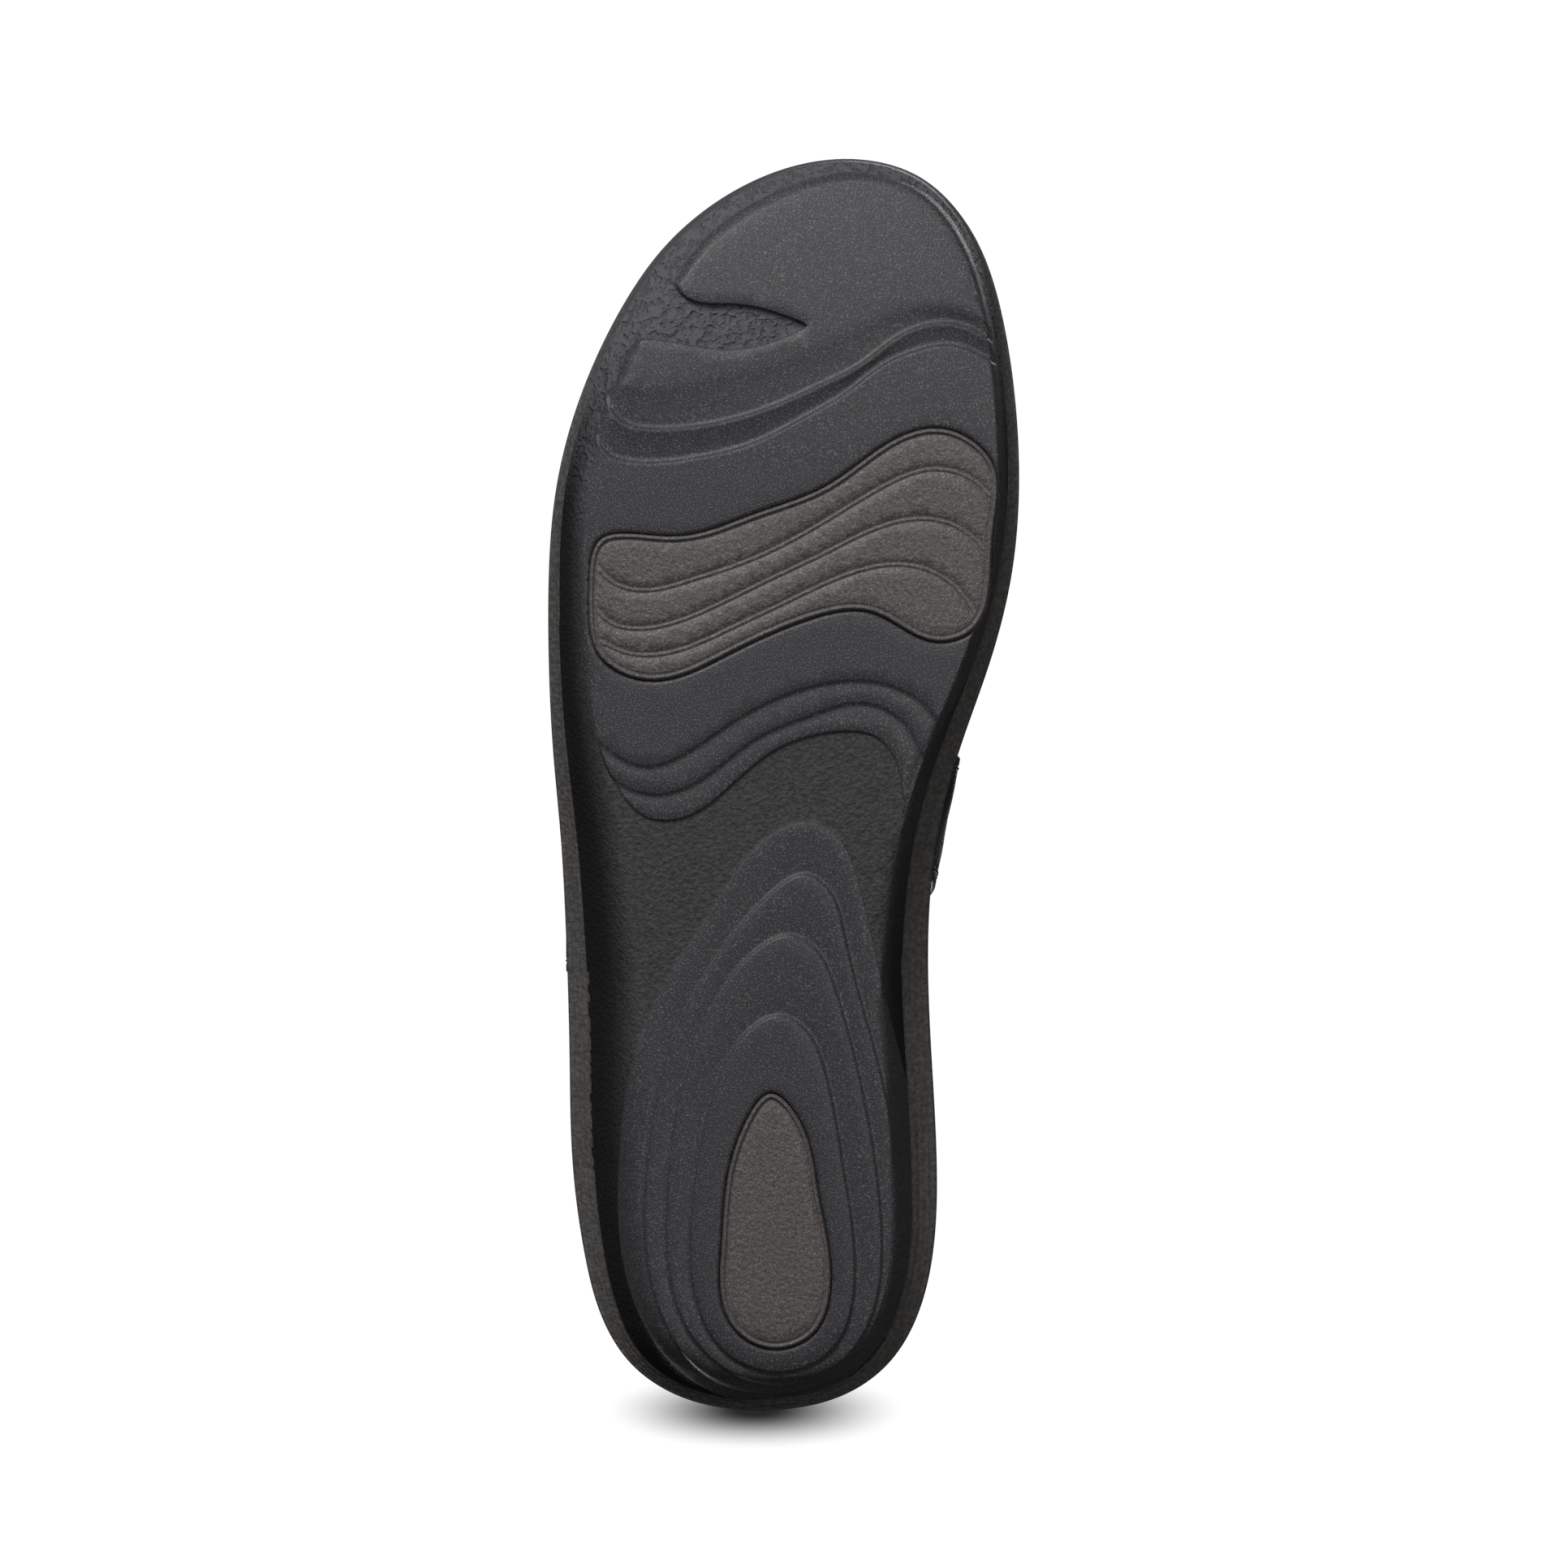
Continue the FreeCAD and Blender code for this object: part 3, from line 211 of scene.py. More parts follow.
class Line:
    """A line in plan with signed distances, positive on its left: inside an anticlockwise outline."""

    def __init__(self, points, closed):
        self.points = points
        self.closed = closed
        ahead = np.roll(points, -1, axis=0)
        behind = np.roll(points, 1, axis=0)
        if not closed:
            ahead[-1] = points[-1]
            behind[0] = points[0]
        along = ahead - behind
        self.along = along / np.linalg.norm(along, axis=1)[:, None]
        self.left = np.column_stack([-self.along[:, 1], self.along[:, 0]])
        self.gap = np.linalg.norm(np.diff(points, axis=0), axis=1).max()

    def nearest(self, places):
        found = []
        for part in np.array_split(places, max(1, len(places) // 3000)):
            away = ((part[:, None, :] - self.points[None, :, :]) ** 2).sum(2)
            found.append(away.argmin(1))
        return np.concatenate(found)

    def signed(self, places, near=None):
        near = self.nearest(places) if near is None else near
        away = places - self.points[near]
        across = (away * self.left[near]).sum(1)
        along = np.abs((away * self.along[near]).sum(1))
        return np.where(along <= self.gap, across, np.sign(across) * np.linalg.norm(away, axis=1))

    def offset(self, distance):
        """The line moved to its left; the distance is one number or one per point."""
        return self.points + self.left * np.reshape(distance, (-1, 1))


def outline(points, spacing=0.8):
    """A closed smooth line, turned anticlockwise so that its left is its inside."""
    row = spline(points, closed=True, spacing=spacing)
    after = np.roll(row, -1, axis=0)
    area = (row[:, 0] * after[:, 1] - row[:, 1] * after[:, 0]).sum()
    return Line(row if area > 0 else row[::-1], closed=True)


def open_line(points, spacing=0.8):
    return Line(spline(points, spacing=spacing), closed=False)


rim_knots = ([RIM_TOE] + [(x, y) for y, unused, x in RIM_STATIONS] + [RIM_HEEL]
             + [(x, y) for y, x, unused in RIM_STATIONS[::-1]])
rim = outline(rim_knots, spacing=1.3)
pad_parts = [(spline(points, spacing=0.9)[:-1], width) for points, width in PAD_EDGES]
pad = Line(np.vstack([part for part, width in pad_parts]), closed=True)
pad_shoulder = np.concatenate([np.full(len(part), width) for part, width in pad_parts])
for unused in range(6):
    pad_shoulder = (np.roll(pad_shoulder, 1) + pad_shoulder + np.roll(pad_shoulder, -1)) / 3
hollow_start = open_line(HOLLOW_START)
waves = [open_line(FRONT_WAVE), open_line(REAR_WAVE)]
terraces = [open_line(points) for points in TERRACES]
rings = [outline(points) for points in HEEL_RINGS]
forefoot_insert = outline(FOREFOOT_INSERT)
heel_insert = outline(HEEL_INSERT)
insert_lines = [open_line(points) for points in INSERT_LINES]


# ---------------------------------------------------------------------------- heights
def tread_height(y):
    height = np.zeros_like(y)
    for start, end, rise in (TOE_ARC, HEEL_ARC):
        run = abs(end - start)
        radius = (run * run + rise * rise) / (2 * rise)
        beyond = np.clip((y - start) * math.copysign(1, end), 0, run)
        height += radius - np.sqrt(radius ** 2 - beyond ** 2)
    return height


seat_line = spline([(y, a * FOREFOOT_HEIGHT + b * HEEL_HEIGHT) for y, a, b in SEAT_SHARES], spacing=2.0)


def seat_height(y):
    """Height of the insole board seat along the sole."""
    return np.interp(y, seat_line[:, 0], seat_line[:, 1])


def rim_middle(y):
    """Middle of the sole's width along the sole."""
    return np.interp(y, [row[0] for row in RIM_STATIONS], [(row[1] + row[2]) / 2 for row in RIM_STATIONS])


def medial_share(places):
    return ease(places[:, 0] - rim_middle(places[:, 1]), -MEDIAL_BLEND, MEDIAL_BLEND)


def edge_sizes(places):
    """Widths of the underside's round shoulder and of its flared lip, and the shoulder's height."""
    share = medial_share(places)
    columns = [np.interp(places[:, 1], EDGE_STATIONS[:, 0], EDGE_STATIONS[:, i]) for i in range(1, 6)]
    shoulder = columns[0] + (columns[1] - columns[0]) * share
    lip = columns[2] + (columns[3] - columns[2]) * share
    return shoulder, lip, columns[4]


def edge_rise(places, inside):
    """How far the underside curls up towards the rim."""
    shoulder, lip, height = edge_sizes(places)
    turn = np.clip((shoulder - inside) / (shoulder - lip), 0, 1)
    rise = height * (np.sqrt(turn ** 2 + BEND ** 2) - BEND) / (math.sqrt(1 + BEND ** 2) - BEND)
    share = np.clip(1 - inside / lip, 0, 1)
    rise += LIP_RISE * share ** 0.9
    for groove in LIP_GROOVES:
        rise += LIP_GROOVE_DEPTH * np.exp(-((share - groove) * lip / LIP_GROOVE_WIDTH) ** 2)
    return rise


def underside(places):
    """Height of the underside, the kind of surface (0 smooth pad, 1 grained margin, 2 flared lip) and
    the share of painted shade that darkens the steep sides of the shoulder."""
    near = pad.nearest(places)
    in_pad = pad.signed(places, near)
    soft = pad_shoulder[near]
    on_pad = np.clip(in_pad / soft, 0, 1)
    depth = MARGIN_DEPTH * (1 - on_pad) ** 2

    hollow = hollow_start.signed(places)
    front = waves[0].signed(places)
    rear = waves[1].signed(places)
    for line, behind in ((front, hollow), (rear, front)):
        inside = (line < 0) & (behind > 0) & (in_pad > 0)
        share = np.clip(-line / np.maximum(behind - line, 1e-6), 0, 1)
        dip = WAVE_DEPTH * (1 - share ** 1.5) * np.clip(-line / CREST_WIDTH, 0, 1) ** 1.5
        dip *= ease(in_pad, 0, 1.5)
        depth = np.where(inside, np.maximum(depth, dip), depth)
    for line in terraces:
        away = line.signed(places)
        step = TERRACE_DROP * ease(away, -STEP_WIDTH, STEP_WIDTH)
        step += TERRACE_GROOVE * np.exp(-((away - 0.8) / 0.7) ** 2)
        depth += step * (in_pad > 0) * (places[:, 1] > TERRACE_END)
    depth = np.minimum(depth, MARGIN_DEPTH)

    inside_rings = [ring.signed(places) for ring in rings]
    for index, inside in enumerate(inside_rings):
        depth -= RING_DROP * ease(inside, -RING_EDGE, RING_EDGE)
        if index + 1 < len(inside_rings):
            inner = inside_rings[index + 1]
            between = (inside > 0) & (inner < 0)
            share = np.clip(inside / np.maximum(inside - inner, 1e-6), 0, 1)
            depth += np.where(between, RING_GROOVE * share ** 1.5 * np.clip(-inner / 0.4, 0, 1), 0)

    for insert in (forefoot_insert, heel_insert):
        inside = insert.signed(places)
        depth += 0.5 * np.clip(1 + inside / SEAT_EDGE, 0, 1) ** 2 * (inside <= 0)
        depth = np.where(inside > 0, np.maximum(depth, INSERT_SEAT * np.clip(inside / 0.12, 0.3, 1)), depth)

    inside_rim = rim.signed(places)
    shoulder, lip, unused = edge_sizes(places)
    kind = np.where((in_pad > 0.12) | (inside_rings[0] > 0), 0, 1)
    kind = np.where(inside_rim < lip, 2, kind)
    # Painted shade: the steep sides of the shoulder are darkened in colour in place of the shade that falls
    # on them; it fades out towards the toe and is lifted on the medial side at the arch.
    painted_flank_shade = ease((shoulder - inside_rim) / (shoulder - lip), 0, 0.7) * ease(places[:, 1], -95, -55)
    painted_flank_shade *= 1 - 0.95 * medial_share(places) * np.exp(-((places[:, 1] - ARCH_Y) / ARCH_LENGTH) ** 2)
    return tread_height(places[:, 1]) + depth + edge_rise(places, inside_rim), kind, painted_flank_shade


# ---------------------------------------------------------------------------- meshes in plan
def plan_sheet(border, lines, spacing):
    """Triangles that fill a closed border in plan, with the given point rows (points, closed) as edges."""
    points = [tuple(p) for p in border]
    edges = [(i, (i + 1) % len(border)) for i in range(len(border))]
    for row, closed in lines:
        start = len(points)
        points += [tuple(p) for p in row]
        edges += [(start + i, start + i + 1) for i in range(len(row) - 1)]
        if closed:
            edges.append((len(points) - 1, start))
    tree = KDTree(len(points))
    for index, (x, y) in enumerate(points):
        tree.insert((x, y, 0), index)
    tree.balance()
    low = border.min(0)
    high = border.max(0)
    wall = Line(border, closed=True)
    fill = []
    for row, y in enumerate(np.arange(low[1], high[1], spacing * 0.866)):
        for x in np.arange(low[0] + (row % 2) * spacing / 2, high[0], spacing):
            if tree.find((x, y, 0))[2] > spacing * 0.55:
                fill.append((x, y))
    fill = np.array(fill)
    fill = fill[wall.signed(fill) > spacing * 0.5]
    points += [tuple(p) for p in fill]
    found, unused, faces = delaunay_2d_cdt([Vector(p) for p in points], edges, [], 1, 1e-5)[:3]
    places = np.array(found)
    faces = np.array(faces)
    centres = places[faces].mean(1)
    return places, faces[wall.signed(centres) > 0]


def new_object(name, places, faces, materials, kinds=None, smooth=True):
    """A mesh object from points in millimetres."""
    mesh = bpy.data.meshes.new(name)
    corners = [tuple(int(i) for i in face) for face in faces]
    mesh.from_pydata([tuple(p) for p in np.asarray(places) * MM], [], corners)
    for item in materials:
        mesh.materials.append(item)
    if kinds is not None:
        mesh.polygons.foreach_set("material_index", np.asarray(kinds, np.int32))
    if smooth:
        mesh.polygons.foreach_set("use_smooth", np.ones(len(mesh.polygons), bool))
    mesh.validate()
    thing = bpy.data.objects.new(name, mesh)
    bpy.context.scene.collection.objects.link(thing)
    return thing


def bridge(first, count, loops):
    """Quads between successive closed loops of the same count, whose first point has the given index."""
    faces = []
    for level in range(loops - 1):
        row = first + level * count
        for i in range(count):
            j = (i + 1) % count
            faces.append((row + i, row + j, row + count + j, row + count + i))
    return faces


def weld(thing, gap=0.004):
    """Joins points that lie together and turns every face outwards."""
    work = bmesh.new()
    work.from_mesh(thing.data)
    bmesh.ops.remove_doubles(work, verts=work.verts, dist=gap * MM)
    bmesh.ops.recalc_face_normals(work, faces=work.faces)
    work.to_mesh(thing.data)
    work.free()


# ---------------------------------------------------------------------------- materials
def add_node(tree, kind, inputs=(), **settings):
    """A shader node; each input is a plain value or the output that feeds it."""
    node = tree.nodes.new(kind)
    for name, value in settings.items():
        setattr(node, name, value)
    for name, value in inputs:
        if isinstance(value, bpy.types.NodeSocket):
            tree.links.new(value, node.inputs[name])
        else:
            node.inputs[name].default_value = value
    return node


class Surface:
    """A procedural material: a principled shader with colour variation and bumps of stated sizes."""

    def __init__(self, name, colour, roughness, specular=0.5, metallic=0.0, sheen=0.0):
        self.material = bpy.data.materials.new(name)
        self.material.use_nodes = True
        self.tree = self.material.node_tree
        self.shader = self.tree.nodes["Principled BSDF"]
        self.colour = (*colour, 1)
        for socket, value in (("Base Color", self.colour), ("Roughness", roughness), ("Metallic", metallic),
                              ("Specular IOR Level", specular), ("Sheen Weight", sheen),
                              ("Sheen Roughness", 0.4)):
            self.shader.inputs[socket].default_value = value
        self.place = self.add("ShaderNodeTexCoord").outputs["Object"]
        self.normal = None

    def add(self, kind, inputs=(), **settings):
        return add_node(self.tree, kind, inputs, **settings)

    def stretched(self, scale):
        """Object coordinates, scaled along each axis."""
        if scale == (1, 1, 1):
            return self.place
        return self.add("ShaderNodeMapping", (("Vector", self.place), ("Scale", scale))).outputs["Vector"]

    def noise(self, size, detail=2.0, distortion=0.0, stretch=(1, 1, 1)):
        """Noise whose features are about the given size in millimetres, about 0.5 on average."""
        inputs = (("Vector", self.stretched(stretch)), ("Scale", 1 / (size * MM)), ("Detail", detail),
                  ("Distortion", distortion))
        return self.add("ShaderNodeTexNoise", inputs, noise_type="FBM", normalize=True).outputs["Fac"]

    def cells(self, size, feature="F1"):
        """Distance to the nearest cell centre, or to the cell's edge, in cells of the given size."""
        inputs = (("Vector", self.place), ("Scale", 1 / (size * MM)))
        return self.add("ShaderNodeTexVoronoi", inputs, feature=feature).outputs["Distance"]

    def ramp(self, value, low, high, start=0.0, end=1.0):
        """The value's range from start to end, spread over low to high and held there."""
        inputs = (("Value", value), ("From Min", start), ("From Max", end), ("To Min", low),
                  ("To Max", high))
        return self.add("ShaderNodeMapRange", inputs).outputs["Result"]

    def blend_colour(self, share, other):
        """Mixes another colour in where the share is high."""
        inputs = (("Factor", share), ("A", self.colour), ("B", (*other, 1)))
        self.colour = self.add("ShaderNodeMix", inputs, data_type="RGBA").outputs["Result"]
        self.tree.links.new(self.colour, self.shader.inputs["Base Color"])

    def mottle(self, value, start, end, other, most=1.0):
        """Mixes another colour in as the value goes from start to end."""
        self.blend_colour(self.ramp(value, 0, most, start, end), other)

    def along(self, start, end):
        """Share that rises from 0 to 1 between two stations along the sole, in millimetres."""
        split = self.add("ShaderNodeSeparateXYZ", ((0, self.place),))
        return self.ramp(split.outputs["Y"], 0, 1, start * MM, end * MM)

    def attribute(self, name):
        """A value stored on the mesh."""
        return self.add("ShaderNodeAttribute", attribute_name=name).outputs["Fac"]

    def roughen(self, value, low, high):
        self.tree.links.new(self.ramp(value, low, high), self.shader.inputs["Roughness"])

    def bump(self, value, height, share=1.0):
        """Relief of about the given height in millimetres, where the share is high."""
        inputs = [("Height", value), ("Distance", height * MM), ("Strength", share)]
        if self.normal is not None:
            inputs.append(("Normal", self.normal))
        self.normal = self.add("ShaderNodeBump", inputs).outputs["Normal"]
        self.tree.links.new(self.normal, self.shader.inputs["Normal"])


def smooth_sole():
    """Matte moulded foam with a fine speckle."""
    item = Surface("sole_smooth", (0.054, 0.0525, 0.0585), 0.49, specular=0.42)
    item.mottle(item.noise(9.0, 3.0), 0.4, 0.7, (0.048, 0.0465, 0.05), 0.35)
    item.mottle(item.noise(0.38, 0.0), 0.42, 0.2, (0.032, 0.032, 0.035))
    item.mottle(item.noise(0.32, 0.0), 0.56, 0.78, (0.16, 0.157, 0.164))
    item.roughen(item.noise(1.2, 2.0), 0.4, 0.56)
    item.bump(item.noise(0.4, 2.0), 0.07)
    return item.material


def grained_sole():
    """The same foam with a moulded leather grain: winding wrinkles at the toe, finer behind it."""
    item = Surface("sole_grain", (0.06, 0.057, 0.06), 0.65, specular=0.2)
    toe = item.along(-48, -72)
    wrinkles = item.noise(1.5, 1.0, distortion=0.6)
    folds = item.noise(0.8, 2.0, distortion=0.3)
    # Lighter on the raised folds: partly the grain's own tone, partly painted glints.
    item.mottle(folds, 0.4, 0.6, (0.085, 0.081, 0.085))
    # Painted light: the toe margin is made paler, standing in for the light it catches from the toe side.
    item.blend_colour(item.ramp(toe, 0, 0.8), (0.125, 0.125, 0.14))
    # Darker colour in the low parts of the wrinkles: painted shade in the creases at the toe, where the
    # wrinkles are raised; behind the toe it is only darker tone.
    item.blend_colour(item.ramp(wrinkles, 0.35, 0, 0.36, 0.5), (0.03, 0.03, 0.032))
    # Painted shade: darker colour on the steep sides of the shoulder.
    item.blend_colour(item.ramp(item.attribute("painted_flank_shade"), 0, 0.9), (0.0125, 0.0115, 0.0125))
    item.roughen(folds, 0.5, 0.68)
    item.bump(item.ramp(wrinkles, 0, 1, 0.36, 0.56), 0.34, share=toe)
    item.bump(folds, 0.42)
    return item.material


def lip_sole():
    """The flared lip round the underside: paler and a little warmer."""
    item = Surface("sole_lip", (0.09, 0.086, 0.083), 0.65, specular=0.16)
    item.mottle(item.noise(1.0, 3.0), 0.4, 0.65, (0.14, 0.134, 0.128))
    item.blend_colour(item.along(-80, -115), (0.085, 0.085, 0.092))
    item.roughen(item.noise(0.8, 2.0), 0.55, 0.7)
    item.bump(item.noise(0.8, 3.0, distortion=0.3), 0.3)
    return item.material


def sidewall_sole():
    item = Surface("sole_wall", (0.048, 0.046, 0.048), 0.55, specular=0.35)
    item.mottle(item.noise(1.1, 3.0), 0.4, 0.65, (0.078, 0.075, 0.074))
    item.roughen(item.noise(2.0, 2.0), 0.45, 0.65)
    item.bump(item.noise(0.9, 3.0, distortion=0.3), 0.14)
    item.bump(item.noise(0.35, 1.0), 0.05)
    return item.material


def insert_rubber():
    """Warm grey rubber with a soft leather grain."""
    item = Surface("grip_rubber", (0.098, 0.088, 0.086), 0.5, specular=0.4)
    grain = item.noise(0.85, 2.0, distortion=0.4)
    # Lighter on the raised grain: partly the rubber's own tone, partly painted glints.
    item.mottle(grain, 0.35, 0.65, (0.142, 0.127, 0.124))
    item.mottle(item.noise(0.34, 0.0), 0.58, 0.78, (0.27, 0.255, 0.25), 0.8)
    item.roughen(grain, 0.38, 0.58)
    item.bump(grain, 0.26)
    item.bump(item.noise(0.35, 1.0), 0.05)
    return item.material


# ---------------------------------------------------------------------------- sole unit
underside_lines = []


def add_lines(line, distances):
    for distance in distances:
        underside_lines.append((line.offset(distance), line.closed))


shoulder, lip, unused = edge_sizes(rim.points)
for share in (0.14, 0.26, 0.3, 0.34, 0.48, 0.52, 0.56, 0.7, 0.74, 0.78, 0.9, 1.0):
    underside_lines.append((rim.offset(lip * share), True))
for share in (0.04, 0.12, 0.25, 0.45, 0.7, 1.0):
    underside_lines.append((rim.offset(lip + (shoulder - lip) * share), True))
for share in (-0.02, 0.0, 0.18, 0.4, 0.7, 1.0):
    underside_lines.append((pad.offset(pad_shoulder * share), True))
add_lines(hollow_start, (0.3, 1.2))
for line in waves:
    add_lines(line, (-1.6, -0.8, -0.5, -0.25, -0.1, 0.0, 0.5))
for line in terraces:
    add_lines(line, (-0.4, 0.0, 0.4, 0.9, 1.7))
for line in rings:
    add_lines(line, (-1.0, -0.45, -0.15, 0.15, 0.45))
for line in (forefoot_insert, heel_insert):
    add_lines(line, (-0.8, -0.4, -0.1, 0.0, 0.13))
tread_places, tread_faces = plan_sheet(rim.points, underside_lines, 2.2)
tread_levels, tread_kinds, tread_painted_shade = underside(tread_places)

WALL_LEVELS = [(share, 0.5 * (2 * share - 1) ** 2) for share in (0.0, 0.08, 0.16, 0.24)]
WALL_LEVELS += [(0.27, 0.55), (0.3, 0.15), (0.42, 0.02), (0.5, 0.0), (0.6, 0.05), (0.72, 0.1), (0.75, 0.55),
                (0.78, 0.15), (0.86, 0.25), (0.93, 0.45), (0.97, 0.75)]
TOP_LEVELS = [(0.0, 1.5), (0.0, 2.4), (-0.1, 3.2), (-0.6, 3.8), (-1.6, RIM_WALL),
              (-RIM_HEIGHT, RIM_WALL + 0.1)]

lip_level = underside(rim.points)[0]
top_level = seat_height(rim.points[:, 1]) + RIM_HEIGHT
wall_rows = []
for share, inset in WALL_LEVELS:
    level = lip_level + (top_level - lip_level) * share
    wall_rows.append(np.column_stack([rim.offset(inset if share else 0), level]))
for drop, inset in TOP_LEVELS:
    wall_rows.append(np.column_stack([rim.offset(inset), top_level + drop]))
floor_places, floor_faces = plan_sheet(wall_rows[-1][:, :2], [], 9.0)

rim_count = len(rim.points)
sole_places = np.vstack([np.column_stack([tread_places, tread_levels])] + wall_rows
                        + [np.column_stack([floor_places, seat_height(floor_places[:, 1])])])
wall_start = len(tread_places)
floor_start = wall_start + rim_count * len(wall_rows)
wall_faces = bridge(wall_start, rim_count, len(wall_rows))
sole_faces = ([tuple(face[::-1]) for face in tread_faces] + wall_faces
              + [tuple(face + floor_start) for face in floor_faces])
face_kinds = [int(tread_kinds[face].max()) for face in tread_faces]
sole_kinds = face_kinds + [3] * (len(wall_faces) + len(floor_faces))
sole = new_object("sole_unit_moulded", sole_places, sole_faces,
                  [smooth_sole(), grained_sole(), lip_sole(), sidewall_sole()], sole_kinds)
# Painted shade on the steep sides, stored on the mesh for the grained material.
painted_shade_values = np.zeros(len(sole_places))
painted_shade_values[:len(tread_painted_shade)] = tread_painted_shade
sole.data.attributes.new("painted_flank_shade", "FLOAT", "POINT").data.foreach_set("value", painted_shade_values)
weld(sole)
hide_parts("sole_unit")
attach(sole, "sandal")


BORDER_GAP = 0.22       # between an insert and the edge of its seat
BEAD_AT = 0.85          # bead round an insert, measured in from the seat's edge
BEAD_RISE = 0.38
GROOVE_AT = 1.45        # groove inside the bead
GROOVE_DEPTH = 0.4
PAIR_HALF_GAP = 0.48    # between the two lines of a pair
PAIR_DEPTH = 0.36


def grip_insert(name, node, line, detail_lines, material):
    """Rubber insert: beaded border, fine line pairs and a plain underside."""
    border = line.offset(BORDER_GAP)
    rows = [(line.offset(distance), True) for distance in (0.4, 0.65, 0.85, 1.05, 1.25, 1.45, 1.65, 1.9)]
    for detail in detail_lines:
        for distance in (-0.7, -PAIR_HALF_GAP, -0.3, 0.0, 0.3, PAIR_HALF_GAP, 0.7):
            row = detail.offset(distance)
            rows.append((row[line.signed(row) > 2.0], False))
    places, faces = plan_sheet(border, rows, 1.8)
    inside = line.signed(places)
    depth = 0.1 - BEAD_RISE * np.exp(-((inside - BEAD_AT) / 0.3) ** 2)
    depth += GROOVE_DEPTH * np.exp(-((inside - GROOVE_AT) / 0.2) ** 2)
    depth += 0.7 * np.clip(1 - (inside - BORDER_GAP) / 0.4, 0, 1) ** 2
    for detail in detail_lines:
        away = np.abs(np.abs(detail.signed(places)) - PAIR_HALF_GAP)
        depth += PAIR_DEPTH * np.exp(-(away / 0.14) ** 2) * (inside > 1.9)
    count = len(border)
    lower = np.column_stack([border, tread_height(border[:, 1]) + 0.8])
    upper = np.column_stack([border, tread_height(border[:, 1]) + INSERT_SEAT + 0.1])
    start = len(places)
    points = np.vstack([np.column_stack([places, tread_height(places[:, 1]) + depth]), lower, upper])
    cap = tuple(range(start + count, start + 2 * count))
    solid = new_object(name, points, [tuple(f[::-1]) for f in faces] + bridge(start, count, 2) + [cap],
                       [material])
    weld(solid)
    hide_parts(node)
    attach(solid, "sandal")


rubber = insert_rubber()
grip_insert("forefoot_insert_ribbed", "forefoot_grip_insert", forefoot_insert, insert_lines, rubber)
grip_insert("heel_insert_ribbed", "heel_grip_insert", heel_insert, [], rubber)


# ---------------------------------------------------------------------------- strap building
class Path:
    """Smooth run through strap stations: (middle of the inner face), width, (direction of the width)."""

    def __init__(self, stations, outwards, spacing=1.8):
        places = np.array([station[0] for station in stations], float)
        widths = np.array([station[1] for station in stations], float)
        ways = np.array([station[2] for station in stations], float)
        ways /= np.linalg.norm(ways, axis=1)[:, None]
        runs = np.diff(places, axis=0)
        lengths = np.linalg.norm(runs, axis=1)
        units = runs / lengths[:, None]
        inner = [(units[i] * lengths[i - 1] + units[i - 1] * lengths[i]) / (lengths[i - 1] + lengths[i])
                 for i in range(1, len(units))]
        slopes = np.vstack([units[:1]] + [row[None] for row in inner] + [units[-1:]])
        rows = []
        for i, length in enumerate(lengths):
            steps = max(2, math.ceil(length / spacing))
            for u in np.arange(steps + (i == len(lengths) - 1)) / steps:
                start, end, pull, push = places[i], places[i + 1], slopes[i] * length, slopes[i + 1] * length
                place = cubic(start, end, pull, push, u)
                along = (start * (6 * u ** 2 - 6 * u) + pull * (3 * u ** 2 - 4 * u + 1)
                         + end * (6 * u - 6 * u ** 2) + push * (3 * u ** 2 - 2 * u))
                way = ways[i] + (ways[i + 1] - ways[i]) * u
                rows.append((place, outwards(along), way / np.linalg.norm(way),
                             widths[i] + (widths[i + 1] - widths[i]) * u, i + u))
        self.place = np.array([row[0] for row in rows])
        self.out = np.array([row[1] for row in rows])
        self.way = np.array([row[2] for row in rows])
        self.width = np.array([row[3] for row in rows])
        self.station = np.array([row[4] for row in rows])

    def spread(self, values):
        """One number, or one per station, as one number per section."""
        values = np.atleast_1d(np.array(values, float))
        if len(values) == 1:
            return np.full(len(self.station), values[0])
        return np.interp(self.station, np.arange(len(values)), values)


def round_bar(bar, side, far, gap, width, way):
    """Stations half way round a bar: from one side of it, past its far side, to the other side."""
    return [(bar + (side * math.cos(turn) + far * math.sin(turn)) * gap, width, way)
            for turn in np.linspace(0, math.pi, 5)]


def unit(x, y, z):
    vector = np.array([x, y, z])
    return vector / np.linalg.norm(vector)


def arch_normal(along):
    return unit(along[2], 0, -along[0])


def back_arch_normal(along):
    return unit(-along[2], 0, along[0])


def belt_normal(along):
    return unit(-along[1], along[0], 0)


def wrap_normal(along):
    return unit(along[1], -along[0], 0)


EDGE_STEPS = np.array([0.0, 0.1, 0.3, 0.6, 1.1, 1.7, 2.1, 2.5, 2.9, 3.4, 4.4])
MIDDLE_STEPS = np.array([0.75, 0.5, 0.25, 0.0])
SEAM_IN = 2.5
STITCH_SINK = 0.12


def across_strap(half):
    """Positions from one edge of a strap to the other, close together near the edges."""
    edge = half - EDGE_STEPS[EDGE_STEPS < half * 0.8]
    side = np.concatenate([edge, edge[-1] * MIDDLE_STEPS])
    return np.concatenate([side, -side[-2::-1]])


def puff(edge, half):
    """Share of a strap's swelling at a distance from its edge."""
    return ease(edge, 1.2, np.minimum(9.0, half * 0.95))


